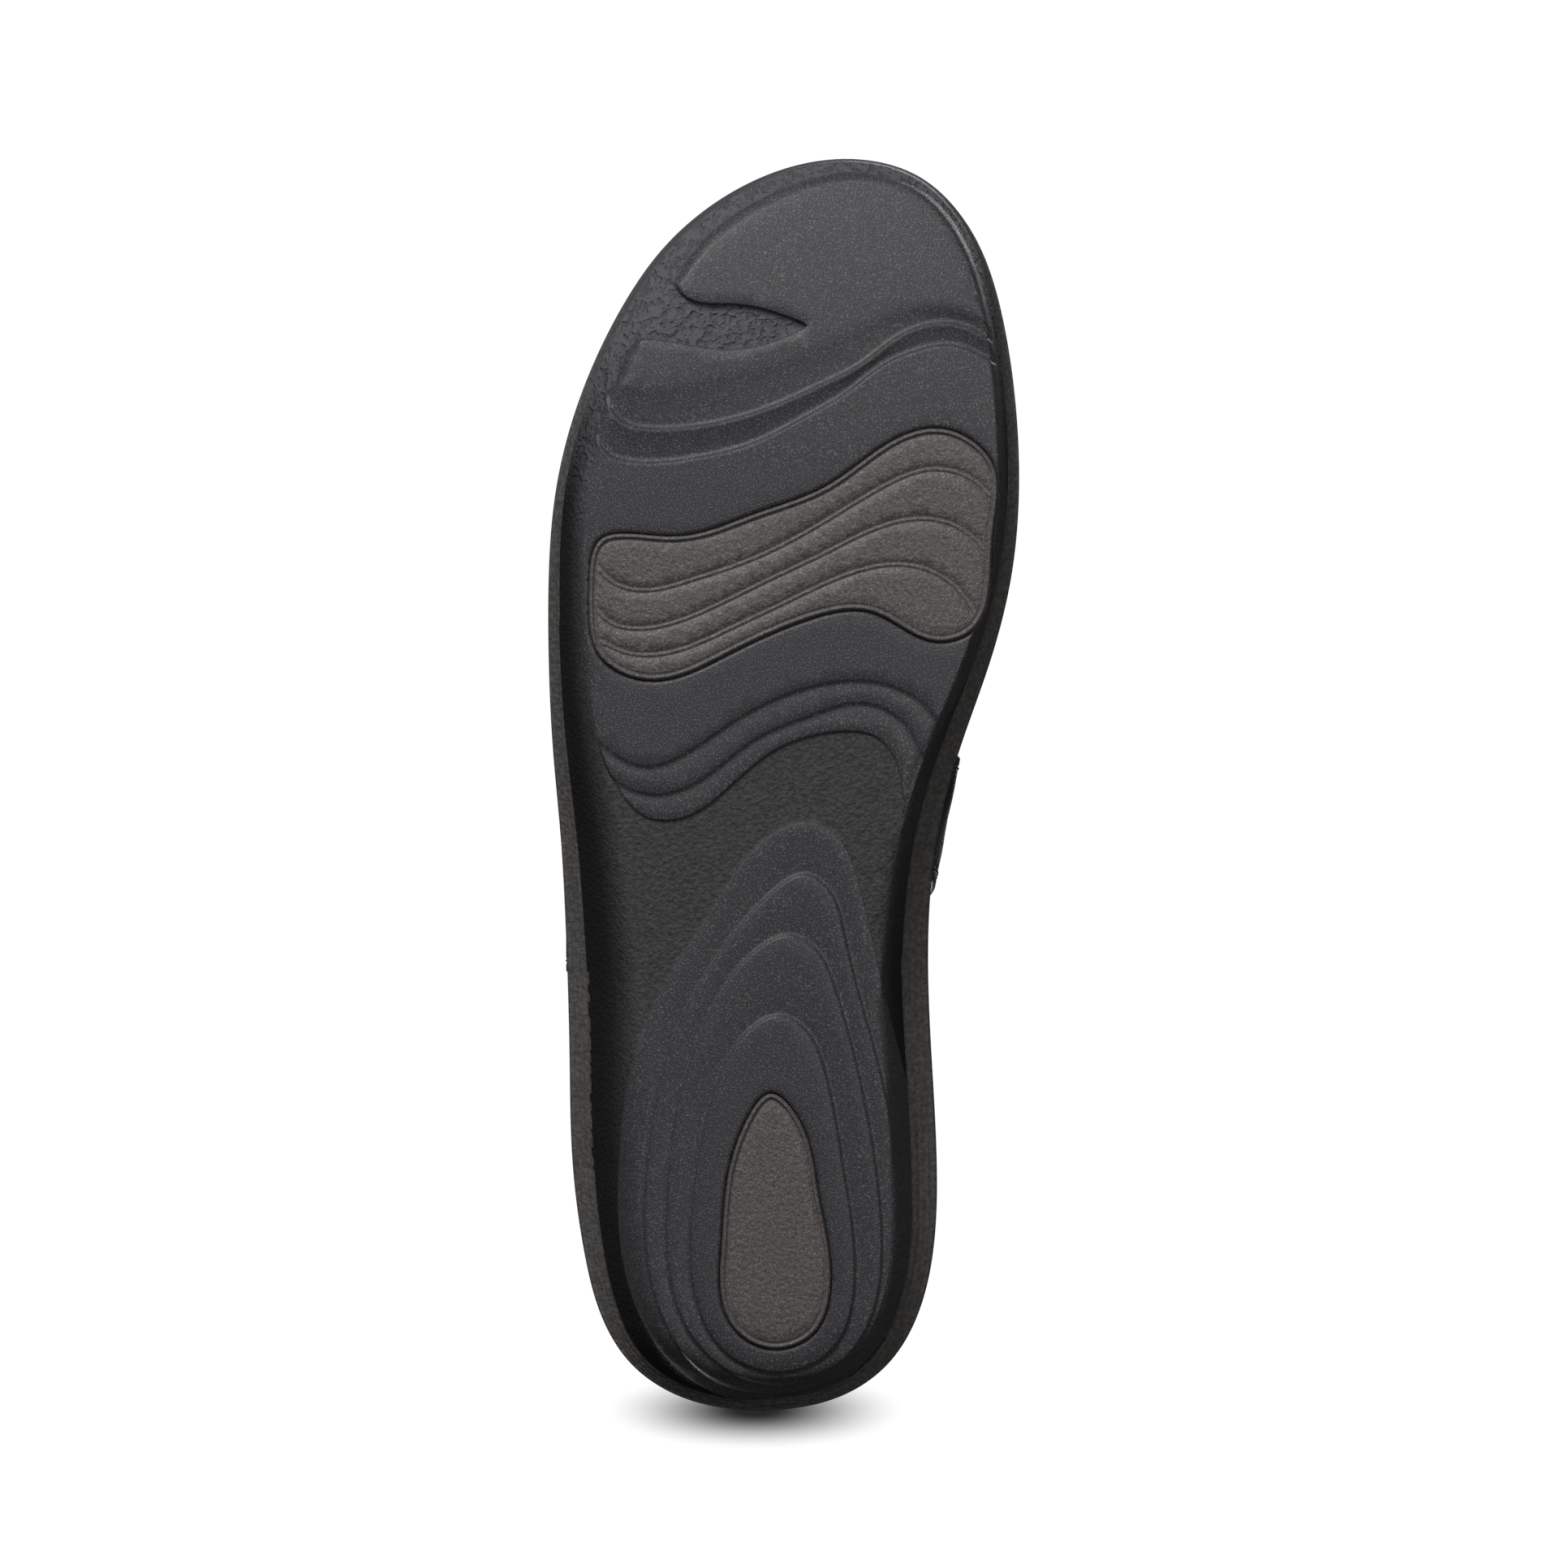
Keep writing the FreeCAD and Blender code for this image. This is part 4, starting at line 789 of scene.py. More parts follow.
def strap_layer(name, node, path, low, high, slot, body, swell=(0.0, 0.0), seam=0.0, trim=0.0,
                part=(0, None), ripple=0.0):
    """One layer of a strap between two offsets from the inner face, with rounded edges.
    The swell lifts its lower and upper faces in the middle; trim narrows it on both sides."""
    lows, highs = path.spread(low), path.spread(high)
    swell_low, swell_high = path.spread(swell[0]), path.spread(swell[1])
    last = path.station[-1] if part[1] is None else part[1] - 1
    keep = [i for i in range(len(path.place)) if part[0] - 1e-6 <= path.station[i] <= last + 1e-6]
    rows = []
    for i in keep:
        half = path.width[i] / 2 - trim
        across = across_strap(max(half, 1.5))
        edge = np.abs(across).max() - np.abs(across)
        radius = min((highs[i] - lows[i]) / 2, 0.9)
        turn = radius - np.sqrt(np.maximum(radius ** 2 - np.maximum(radius - edge, 0) ** 2, 0))
        share = puff(edge, half)
        upper = highs[i] - turn + swell_high[i] * share - seam * np.exp(-((edge - SEAM_IN) / 0.4) ** 2)
        lower = lows[i] + turn + swell_low[i] * share
        if ripple:
            phase = path.place[i] @ np.array([0.31, 0.23, 0.27])
            waviness = np.sin(phase + across * 0.35) + np.sin(1.7 * phase - across * 0.21)
            upper = upper + ripple * share * waviness
        offsets = np.concatenate([upper, lower[::-1]])
        sides = np.concatenate([across, across[::-1]])
        rows.append(path.place[i] + path.out[i] * offsets[:, None] + path.way[i] * sides[:, None])
    counts = {len(row) for row in rows}
    if len(counts) > 1:
        common = min(counts)
        rows = [resample_section(row, common) for row in rows]
    count = len(rows[0])
    faces = bridge(0, count, len(rows))
    faces += [tuple(range(count)), tuple(range(count * (len(rows) - 1), count * len(rows)))]
    thing = new_object(name, np.vstack(rows), faces, [finishes[slot]])
    weld(thing)
    if node:
        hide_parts(*node.split())
    if body:
        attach(thing, body)
    return thing


def resample_section(row, count):
    """The same closed section with fewer points, so that a strap's narrow end joins its wide part."""
    half = len(row) // 2
    take = np.round(np.linspace(0, half - 1, count // 2)).astype(int)
    return np.vstack([row[take], row[half:][::-1][take][::-1]])


def seam_rows(path, high, swell=0.0, part=(0, None)):
    """Points and normals along both seams of a strap, on its outer face."""
    highs, swells = path.spread(high), path.spread(swell)
    last = path.station[-1] if part[1] is None else part[1] - 1
    keep = (path.station >= part[0]) & (path.station <= last)
    found = []
    half = path.width / 2
    lift = highs + swells * puff(np.full(len(half), SEAM_IN), half) - STITCH_SINK
    for side in (1, -1):
        points = path.place + path.out * lift[:, None] + path.way * (side * (half - SEAM_IN))[:, None]
        found.append((points[keep], path.out[keep]))
    return found


STITCH_LENGTH = 2.3
STITCH_PITCH = 3.2
STITCH_RADIUS = 0.32
STITCH_SIDES = 6
# A stitch from end to end: place along it, size and how far it rises.
STITCH_PROFILE = [(0.0, 0.35, -0.22), (0.14, 0.85, 0.0), (0.5, 1.0, 0.1), (0.86, 0.85, 0.0),
                  (1.0, 0.35, -0.22)]


def stitches(name, rows, body):
    """Raised thread stitches along rows of points with normals, as one piece."""
    turns = np.arange(STITCH_SIDES) * 2 * math.pi / STITCH_SIDES
    ring = [(math.cos(turn), math.sin(turn)) for turn in turns]
    points, faces = [], []
    for row, normals in rows:
        gaps = np.linalg.norm(np.diff(row, axis=0), axis=1)
        run = np.concatenate([[0], np.cumsum(gaps)])
        for start in np.arange(STITCH_PITCH / 2, run[-1] - STITCH_LENGTH, STITCH_PITCH):
            ends = [np.array([np.interp(at, run, row[:, k]) for k in range(3)])
                    for at in (start, start + STITCH_LENGTH)]
            out = np.array([np.interp(start, run, normals[:, k]) for k in range(3)])
            along = ends[1] - ends[0]
            side = np.cross(along, out)
            side /= np.linalg.norm(side)
            first = len(points)
            for share, size, sink in STITCH_PROFILE:
                middle = ends[0] + along * share + out * sink
                points += [middle + (side * c + out * s * 0.8) * size * STITCH_RADIUS for c, s in ring]
            faces += bridge(first, STITCH_SIDES, len(STITCH_PROFILE))
            faces += [tuple(range(first, first + STITCH_SIDES)),
                      tuple(range(len(points) - STITCH_SIDES, len(points)))]
    thing = new_object(name, points, faces, [seam_thread])
    weld(thing, 0.0004)
    if body:
        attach(thing, body)
    return thing


# ---------------------------------------------------------------------------- materials of the upper
def strap_leather():
    """Dark navy oiled nubuck: fine grain, broad tone changes and fine paler mottling."""
    item = Surface("strap_leather", (0.0115, 0.0145, 0.025), 0.55, specular=0.3, sheen=0.06)
    grain = item.cells(1.1, feature="DISTANCE_TO_EDGE")
    item.mottle(item.noise(6.0, 4.0), 0.35, 0.7, (0.021, 0.026, 0.041), 0.8)
    item.mottle(item.noise(0.7, 2.0), 0.45, 0.75, (0.03, 0.036, 0.055), 0.5)
    item.roughen(item.noise(2.5, 3.0), 0.48, 0.66)
    item.bump(item.ramp(grain, 0, 1, 0.0, 0.12), 0.07)
    item.bump(item.noise(0.6, 3.0), 0.06)
    item.bump(item.noise(7.0, 2.0), 0.25)
    return item.material


def lining_cloth():
    """Soft charcoal microfibre with a fine nap."""
    item = Surface("strap_lining", (0.028, 0.029, 0.033), 0.85, specular=0.2, sheen=0.5)
    item.mottle(item.noise(3.0, 4.0), 0.35, 0.7, (0.045, 0.046, 0.052), 0.8)
    item.bump(item.noise(0.35, 3.0), 0.1)
    item.bump(item.noise(4.0, 2.0), 0.15)
    return item.material


def padding_foam():
    item = Surface("strap_padding", (0.05, 0.05, 0.055), 0.9, specular=0.15)
    item.mottle(item.cells(0.9), 0.1, 0.5, (0.08, 0.08, 0.085))
    item.bump(item.cells(0.8), 0.25)
    return item.material


def footbed_suede():
    """Charcoal suede over the footbed: soft nap and slight broad tone changes."""
    item = Surface("footbed_suede", (0.036, 0.034, 0.036), 0.82, specular=0.2, sheen=0.45)
    item.mottle(item.noise(14.0, 4.0), 0.35, 0.7, (0.058, 0.054, 0.054), 0.9)
    item.mottle(item.noise(0.8, 3.0), 0.45, 0.75, (0.07, 0.066, 0.066), 0.6)
    item.bump(item.noise(0.5, 3.0), 0.12)
    item.bump(item.noise(3.0, 3.0), 0.18)
    return item.material


def thread():
    item = Surface("seam_thread", (0.05, 0.055, 0.075), 0.6, specular=0.3)
    item.mottle(item.noise(0.8, 1.0), 0.4, 0.7, (0.08, 0.086, 0.11))
    item.bump(item.noise(0.3, 1.0, stretch=(1, 1, 3)), 0.1)
    return item.material


def hook_and_loop():
    item = Surface("hook_and_loop", (0.014, 0.015, 0.02), 0.8, specular=0.25, sheen=0.3)
    item.mottle(item.cells(0.7), 0.2, 0.7, (0.035, 0.037, 0.045))
    item.bump(item.cells(0.7), 0.45)
    item.bump(item.noise(0.3, 2.0), 0.2)
    return item.material


def brushed_metal():
    """Dark nickel with fine brushing and light handling marks."""
    item = Surface("hardware_metal", (0.42, 0.42, 0.43), 0.28, metallic=1.0)
    item.mottle(item.noise(2.5, 4.0), 0.4, 0.75, (0.3, 0.295, 0.29), 0.7)
    item.roughen(item.noise(0.9, 4.0, stretch=(1, 6, 1)), 0.2, 0.42)
    item.bump(item.noise(0.25, 2.0, stretch=(1, 8, 1)), 0.01)
    return item.material


def cushion_gel():
    item = Surface("cushion_gel", (0.1, 0.2, 0.28), 0.35, specular=0.5)
    item.mottle(item.noise(5.0, 2.0), 0.4, 0.7, (0.14, 0.26, 0.34), 0.6)
    item.bump(item.cells(3.0), 0.2)
    return item.material


def fibre_board():
    item = Surface("fibre_board", (0.03, 0.028, 0.027), 0.85, specular=0.2)
    fibres = item.noise(1.2, 4.0, stretch=(1, 0.2, 1))
    item.mottle(fibres, 0.35, 0.7, (0.05, 0.047, 0.045))
    item.bump(item.noise(0.8, 3.0), 0.15)
    return item.material


def shank_steel():
    item = Surface("shank_steel", (0.36, 0.36, 0.37), 0.35, metallic=1.0)
    item.roughen(item.noise(1.5, 4.0, stretch=(6, 1, 1)), 0.25, 0.5)
    item.bump(item.noise(0.6, 2.0, stretch=(6, 1, 1)), 0.03)
    return item.material


finishes = {"strap_leather": strap_leather(), "strap_lining": lining_cloth(),
            "strap_padding": padding_foam(), "hook_and_loop": hook_and_loop()}
seam_thread = thread()
metal = brushed_metal()

CARRIED_OVER = [
    ("strap_ring", metal), ("buckle_frame", metal), ("buckle_prong", metal), ("sling_studs", metal),
    ("insole_board", fibre_board()), ("shank", shank_steel()),
]
gel = cushion_gel()
CARRIED_OVER += [(node, gel) for node in ("heel_cushion", "ball_cushion", "arch_wedge")]
for node, material in CARRIED_OVER:
    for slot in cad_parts[node].material_slots:
        slot.material = material

# ---------------------------------------------------------------------------- footbed
COVER_TOP = 8.6
BED_HALF_WIDTH = 34
CUP_RISE = 3.4          # sides of the heel cup
HEEL_RISE = 2.2
ARCH_RISE = 4.5
BALL_RISE = 1.6         # pad behind the ball of the foot
TOE_BAR_RISE = 1.3
SEAM_DEPTH = 0.5
CHANNEL_DEPTH = 0.6
ROLL = 3.2
FOOTBED_INSET = 4.4
STRAP_ROOM = 4.3
# Where straps come up between the footbed and the rim: distance from the middle, half length, medial.
STRAP_PLACES = [(-60, 19, True), (-60, 19, False), (6, 16, True), (44, 20, True), (42.5, 30, False)]
FOOTBED_CHANNELS = [
    [(-30, -62), (-12, -69), (10, -79), (34, -82)], [(-33, -50), (-12, -57), (10, -67), (36, -69)],
    [(-34, -38), (-12, -45), (10, -54), (36, -55)],
]
HEEL_CHANNEL = [(-6, 52), (-22, 66), (-28, 88), (-22, 108), (-7, 117), (9, 108), (15, 88), (9, 66)]

strap_room = np.zeros(rim_count)
for y, reach, medial in STRAP_PLACES:
    near = 1 - ease(np.abs(rim.points[:, 1] - y), reach, reach + 9)
    strap_room = np.maximum(strap_room, near * ((rim.points[:, 0] > -3) == medial))
footbed_border = Line(rim.offset(FOOTBED_INSET + STRAP_ROOM * strap_room), closed=True)
channels = [open_line(points, 1.5) for points in FOOTBED_CHANNELS] + [outline(HEEL_CHANNEL, 1.5)]
SEAM_FROM_EDGE = 5.0


def footbed_height(places, inside):
    """Top of the footbed: heel cup, arch, ball bed and toe bar, rolled over at its edge."""
    x, y = places[:, 0], places[:, 1]
    across = (x - rim_middle(y)) / BED_HALF_WIDTH
    height = seat_height(y) + COVER_TOP
    height += CUP_RISE * ease(np.abs(across), 0.25, 1.0) * ease(y, 30, 80)
    height += HEEL_RISE * ease(y, 100, 125)
    height += ARCH_RISE * ease(across, 0.1, 0.95) * np.exp(-((y - 16) / 30) ** 2)
    height += BALL_RISE * np.exp(-((x + 4) / 16) ** 2 - ((y + 28) / 15) ** 2)
    height += TOE_BAR_RISE * np.exp(-((y + 84 + 0.2 * x) / 9) ** 2) * (1 - ease(np.abs(across), 0.6, 1.2))
    roll = np.clip(1 - inside / ROLL, 0, 1)
    height -= ROLL * (1 - np.sqrt(np.maximum(1 - roll ** 2, 0)))
    height -= SEAM_DEPTH * np.exp(-((inside - SEAM_FROM_EDGE) / 0.55) ** 2)
    for channel in channels:
        height -= CHANNEL_DEPTH * np.exp(-(channel.signed(places) / 1.1) ** 2)
    return height


footbed_lines = [(footbed_border.offset(d), True)
                 for d in (0.1, 0.4, 0.9, 1.7, 2.8, 4.2, 4.7, 5.0, 5.3, 5.9)]
for channel in channels:
    footbed_lines += [(channel.offset(d), channel.closed) for d in (-1.8, -0.9, -0.4, 0.0, 0.4, 0.9, 1.8)]
bed_places, bed_faces = plan_sheet(footbed_border.points, footbed_lines, 3.2)
bed_levels = footbed_height(bed_places, footbed_border.signed(bed_places))
border_top = footbed_height(footbed_border.points, np.zeros(rim_count))
border_rows = [np.column_stack([footbed_border.points, border_top]),
               np.column_stack([footbed_border.offset(0.3), seat_height(footbed_border.points[:, 1]) + 2.1])]
bed_start = len(bed_places)
footbed = new_object(
    "footbed", np.vstack([np.column_stack([bed_places, bed_levels])] + border_rows),
    [tuple(f) for f in bed_faces] + bridge(bed_start, rim_count, 2)
    + [tuple(range(bed_start + rim_count, bed_start + 2 * rim_count))], [footbed_suede()])
weld(footbed)
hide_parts("footbed_cover", "footbed_foam")
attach(footbed, "sandal")

seam_plan = footbed_border.offset(SEAM_FROM_EDGE)
seam_plan = np.vstack([seam_plan, seam_plan[:1]])
seam_level = footbed_height(seam_plan, np.full(len(seam_plan), SEAM_FROM_EDGE)) + 0.15
upwards = np.tile([0.0, 0.0, 1.0], (len(seam_plan), 1))
stitches("footbed_stitches", [(np.column_stack([seam_plan, seam_level]), upwards)], "sandal")

# ---------------------------------------------------------------------------- straps over the foot
LEATHER = 1.4
LINING = 1.0
STRAP = LEATHER + LINING
THIN = 1.2      # leather where it goes round a bar
PATCH = 0.9
BASE_LIFT = 2.6
RING_Y = 29.0
RING_SPAN = 10.2


def base(y):
    return float(seat_height(y)) + BASE_LIFT


VAMP_Y = -60.0
VAMP = [
    ((40.9, VAMP_Y, base(VAMP_Y)), 34, (-0.03, 1, 0)), ((41.1, VAMP_Y, 23.0), 34, (-0.03, 1, 0)),
    ((42.3, VAMP_Y, 33.0), 35, (-0.03, 1, 0.05)), ((38.5, VAMP_Y, 44.0), 36, (0, 1, 0.12)),
    ((26.0, VAMP_Y, 53.5), 38, (0, 1, 0.2)), ((8.0, VAMP_Y - 2, 57.5), 40, (0, 1, 0.24)),
    ((-13.0, VAMP_Y - 1, 54.0), 38, (0, 1, 0.2)), ((-30.5, VAMP_Y, 45.0), 36, (0, 1, 0.12)),
    ((-39.3, VAMP_Y, 34.0), 35, (-0.1, 1, 0.05)), ((-40.2, VAMP_Y, 23.0), 34, (-0.16, 1, 0)),
    ((-40.2, VAMP_Y, base(VAMP_Y)), 34, (-0.16, 1, 0)),
]
VAMP_SWELL = [1.8 * share for share in (0, 0, 0.3, 0.8, 1, 1, 1, 0.8, 0.3, 0, 0)]
vamp = Path(VAMP, arch_normal)
strap_layer("vamp_leather", "vamp_strap", vamp, LINING, STRAP, "strap_leather", "sandal",
            swell=(VAMP_SWELL, VAMP_SWELL), seam=0.35, ripple=0.12)
strap_layer("vamp_foam", "vamp_padding", vamp, LINING, LINING + 0.02, "strap_padding", "sandal",
            swell=(0.0, VAMP_SWELL), trim=0.8, part=(2, 9))
strap_layer("vamp_inside", "vamp_lining", vamp, 0, LINING, "strap_lining", "sandal")
stitches("vamp_stitches", seam_rows(vamp, STRAP, VAMP_SWELL), "sandal")

UPPER_BAR = np.array([-30.0, RING_Y, 74.5])
ring_along = unit(0.549, 0, 0.836)
ring_out = np.array([-ring_along[2], 0, ring_along[0]])
LOWER_BAR = UPPER_BAR - ring_along * RING_SPAN
BAR_GAP = 1.85
under_bar = UPPER_BAR - ring_out * (BAR_GAP + STRAP) + ring_along * 1.6
INSTEP = [
    ((25.9, 6, base(6)), 27, (-0.2, 1, 0.14)), ((26.1, 6, 27.5), 27, (-0.2, 1, 0.12)),
    ((31.9, 7, 38.0), 27, (-0.24, 1, 0.1)), ((31.9, 9, 50.0), 27, (-0.14, 1, 0.1)),
    ((28.5, 12, 63.0), 27, (0, 1, 0.12)), ((20.5, 16, 74.5), 26, (0, 1, 0.16)),
    ((7.5, 20, 82.2), 26, (0, 1, 0.18)), ((-7.0, 25, 83.4), 26, (0, 1, 0.15)),
    ((-18.5, 28.5, 79.5), 26, (0, 1, 0.06)), (under_bar, 26, (0, 1, 0)),
]
instep = Path(INSTEP, arch_normal)
strap_layer("instep_leather", "instep_strap", instep, LINING, STRAP, "strap_leather", "sandal",
            seam=0.35, ripple=0.1)
strap_layer("instep_inside", "instep_lining", instep, 0, LINING, "strap_lining", "sandal")
strap_layer("loop_patch_pile", "loop_patch", instep, STRAP, STRAP + PATCH, "hook_and_loop", "sandal",
            trim=2.0, part=(5, 9))
stitches("instep_stitches", seam_rows(instep, STRAP, part=(0, 6)), "sandal")

# The tab carries on round the ring's upper bar and lies back over the instep strap.
TAB_THICK = 2.0
TAB = [
    (UPPER_BAR - ring_out * BAR_GAP + ring_along * 1.2, 26, (0, 1, 0)),
    *round_bar(UPPER_BAR, -ring_out, -ring_along, BAR_GAP, 26, (0, 1, 0))[1:],
    ((-28.0, 29.5, 80.0), 26, (0, 1, 0.03)), ((-20.6, 28, 84.6), 26, (0, 1, 0.08)),
    ((-8.0, 25, 88.4), 26, (0, 1, 0.15)), ((5.5, 21, 87.6), 25, (0, 1, 0.18)),
    ((13.0, 18.6, 84.9), 23.5, (0, 1, 0.175)), ((18.0, 17, 82.2), 19, (0, 1, 0.17)),
]
tab = Path(TAB, back_arch_normal, spacing=1.2)
tab_piece = strap_layer("instep_tab_leather", "instep_tab", tab, 0, TAB_THICK, "strap_leather", None,
                        seam=0.35, ripple=0.08)
tab_seams = stitches("instep_tab_stitches", seam_rows(tab, TAB_THICK, part=(5, None)), None)
for piece in (tab_piece, tab_seams):
    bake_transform(piece)
strap_layer("hook_patch_pile", "hook_patch", tab, -PATCH, 0, "hook_and_loop", "instep_flap",
            trim=2.0, part=(6, 10))

LOOP = [
    ((-45.5, RING_Y, 50.0), 23, (0, 1, 0.1)), ((-45.4, RING_Y, 56.0), 23, (0, 1, 0.08)),
    ((-44.6, RING_Y, 61.0), 23, (0, 1, 0.04)),
    (LOWER_BAR + ring_out * BAR_GAP - ring_along * 0.5, 23, (0, 1, 0)),
    *round_bar(LOWER_BAR, ring_out, ring_along, BAR_GAP, 23, (0, 1, 0))[1:],
    ((-36.9, RING_Y, 61.5), 23, (0, 1, 0)),
]
loop = Path(LOOP, back_arch_normal, spacing=1.2)
strap_layer("ring_loop_leather", "ring_loop", loop, 0, THIN, "strap_leather", "sandal", seam=0.3)
stitches("ring_loop_stitches", seam_rows(loop, THIN, part=(0, 4)), "sandal")

LATERAL_PANEL = [
    ((-38.6, 42.5, base(42.5) + 0.2), 55, (0.03, 1, 0.135)), ((-38.8, 42.5, 34.0), 55, (0.03, 1, 0.12)),
    ((-42.6, 42.0, 43.0), 54, (0.02, 1, 0.08)), ((-42.7, 42.0, 53.0), 51, (0.01, 1, 0.1)),
    ((-41.0, 42.0, 63.0), 46, (0, 1, 0.3)),
]
MEDIAL_PANEL = [
    ((23.0, 44, base(44) + 0.2), 35, (0.01, 1, 0.12)), ((23.2, 44, 34.5), 35, (0.01, 1, 0.11)),
    ((26.6, 46, 43.0), 33, (0, 1, 0.1)), ((27.0, 49, 53.0), 29, (0, 1, 0.12)),
    ((26.4, 52, 65.5), 25, (0, 1, 0.2)),
]
for side, stations, outwards in (("lateral", LATERAL_PANEL, back_arch_normal),
                                 ("medial", MEDIAL_PANEL, arch_normal)):
    panel = Path(stations, outwards)
    strap_layer(side + "_panel_leather", side + "_panel", panel, LINING, STRAP, "strap_leather",
                "sandal", seam=0.35, ripple=0.12)
    strap_layer(side + "_panel_inside", side + "_lining", panel, 0, LINING, "strap_lining", "sandal")
    stitches(side + "_panel_stitches", seam_rows(panel, STRAP), "sandal")

# ---------------------------------------------------------------------------- heel sling
STUD_Z = 62.0
LEG_WIDTH = 18.0
SLING_PAD = 3.0
SLING_UP = (0, 0, 1)
SLING_ROWS = [
    (-35.8, 49.0, 0.42, 0), (-35.8, 51.5, 0.78, 0), (-35.8, 57.0, 1, 0), (-35.8, 66.0, 1, 0),
    (-35.7, 76.0, 1, 0), (-34.6, 86.0, 1, 0), (-30.8, 97.0, 1.1, 0.2), (-24.0, 106.5, 1.25, 0.6),
    (-15.5, 112.4, 1.35, 0.9), (-6.3, 114.5, 1.4, 1), (3.0, 112.4, 1.35, 0.9), (11.5, 106.5, 1.25, 0.6),
    (18.3, 97.0, 1.1, 0.2), (21.8, 86.0, 1, 0), (22.8, 76.0, 1, 0), (22.9, 66.0, 1, 0),
    (22.9, 57.0, 1, 0), (22.9, 51.5, 0.78, 0), (22.9, 49.0, 0.42, 0),
]
BUCKLE_END = 5
STRAP_START = 7
SLING = [((x, y, STUD_Z), LEG_WIDTH * share, SLING_UP) for x, y, share, unused in SLING_ROWS]
SLING_SWELL = [SLING_PAD * row[3] for row in SLING_ROWS]
FRAME_BAR = np.array([-39.1, 84.0, STUD_Z])
FRAME_SPAN = 12.8
frame_along = unit(0.19, 0.982, 0)
frame_out = np.array([-frame_along[1], frame_along[0], 0])
FAR_BAR = FRAME_BAR + frame_along * FRAME_SPAN
WRAP_RADIUS = 1.25
WRAP_SHIFT = 5.05
PRONG_ROOM = 5.2
TONGUE_WIDTH = 15.0
TONGUE_THICK = 1.8

sling = Path(SLING, belt_normal)
strap_layer("sling_inside", "sling_lining", sling, 0, LINING, "strap_lining", "heel_sling",
            part=(STRAP_START, None))
strap_layer("sling_foam", "sling_padding", sling, LINING, LINING + 0.02, "strap_padding", "heel_sling",
            swell=(0.0, SLING_SWELL), trim=0.8, part=(STRAP_START, 13))
strap_layer("sling_anchor_inside", "anchor_lining", sling, 0, LINING, "strap_lining", "heel_sling",
            part=(0, BUCKLE_END))

ANCHOR = SLING[:BUCKLE_END] + [
    (FRAME_BAR - frame_along * 3.5 - frame_out * (WRAP_RADIUS + THIN), TONGUE_WIDTH, SLING_UP),
    (FRAME_BAR - frame_out * (WRAP_RADIUS + THIN), TONGUE_WIDTH, SLING_UP),
]
anchor = Path(ANCHOR, belt_normal)
anchor_low = [LINING] * BUCKLE_END + [0, 0]
anchor_high = [STRAP] * BUCKLE_END + [THIN, THIN]
strap_layer("sling_anchor_leather", "sling_anchor", anchor, anchor_low, anchor_high, "strap_leather",
            "heel_sling", seam=0.3)
# The anchor's end goes round the bar in two halves, with the prong between them.
for label, shift in (("upper", WRAP_SHIFT), ("lower", -WRAP_SHIFT)):
    stations = round_bar(FRAME_BAR + np.array([0, 0, shift]), -frame_out, frame_along, WRAP_RADIUS,
                         (TONGUE_WIDTH - PRONG_ROOM) / 2, SLING_UP)
    strap_layer("anchor_wrap_" + label, None, Path(stations, wrap_normal, 0.8), 0, THIN, "strap_leather",
                "heel_sling")

TONGUE = [
    ((-38.7, 70.5, STUD_Z), 6, SLING_UP), ((-38.7, 72.5, STUD_Z), 12, SLING_UP),
    ((-39.2, 76.5, STUD_Z), TONGUE_WIDTH, SLING_UP),
    (FRAME_BAR + frame_out * 2.6 - frame_along * 3.0, TONGUE_WIDTH, SLING_UP),
    (FRAME_BAR + frame_out * 2.6, TONGUE_WIDTH, SLING_UP),
    (FRAME_BAR + frame_along * 3.6 + frame_out * 1.6, TONGUE_WIDTH, SLING_UP),
    (FAR_BAR - frame_out * 3.1 - frame_along * 2.0, TONGUE_WIDTH, SLING_UP),
]
long_stations = TONGUE + SLING[STRAP_START:]
ahead = len(TONGUE)
long_low = [0] * ahead + [LINING] * (len(SLING) - STRAP_START)
long_high = [TONGUE_THICK] * ahead + [STRAP] * (len(SLING) - STRAP_START)
long_swell = [0] * ahead + SLING_SWELL[STRAP_START:]
long_strap = Path(long_stations, belt_normal)
strap_layer("sling_leather", "sling_strap", long_strap, long_low, long_high, "strap_leather",
            "heel_sling", swell=(long_swell, long_swell), seam=0.35, ripple=0.12)
stitches("sling_stitches", seam_rows(long_strap, long_high, long_swell, part=(1, len(long_stations) - 1))
         + seam_rows(anchor, anchor_high, part=(1, BUCKLE_END)), "heel_sling")

# Keeper: a leather band round the anchor and the tongue.
KEEPER_X = (-42.6, -35.4)
KEEPER_Y = 75.9
KEEPER_HALF = 9.6
KEEPER_ROUND = 1.2
KEEPER_WIDTH = 5.0
KEEPER_THICK = 1.0
keeper_path = []
middle_x = sum(KEEPER_X) / 2
for x, up in ((KEEPER_X[1], -1), (KEEPER_X[1], 1), (KEEPER_X[0], 1), (KEEPER_X[0], -1)):
    side = math.copysign(KEEPER_ROUND, middle_x - x)
    drop = up * KEEPER_ROUND
    high = STUD_Z + up * KEEPER_HALF
    turn_in = [(x, high - drop), (x + side * 0.3, high - drop * 0.3), (x + side, high)]
    keeper_path += turn_in if (x == KEEPER_X[1]) == (up > 0) else turn_in[::-1]
keeper_path.append(keeper_path[0])
keeper = Path([((x, KEEPER_Y, z), KEEPER_WIDTH, (0, 1, 0)) for x, z in keeper_path], arch_normal, 1.5)
strap_layer("keeper_band", "keeper_loop", keeper, 0, KEEPER_THICK, "strap_leather", "heel_sling")

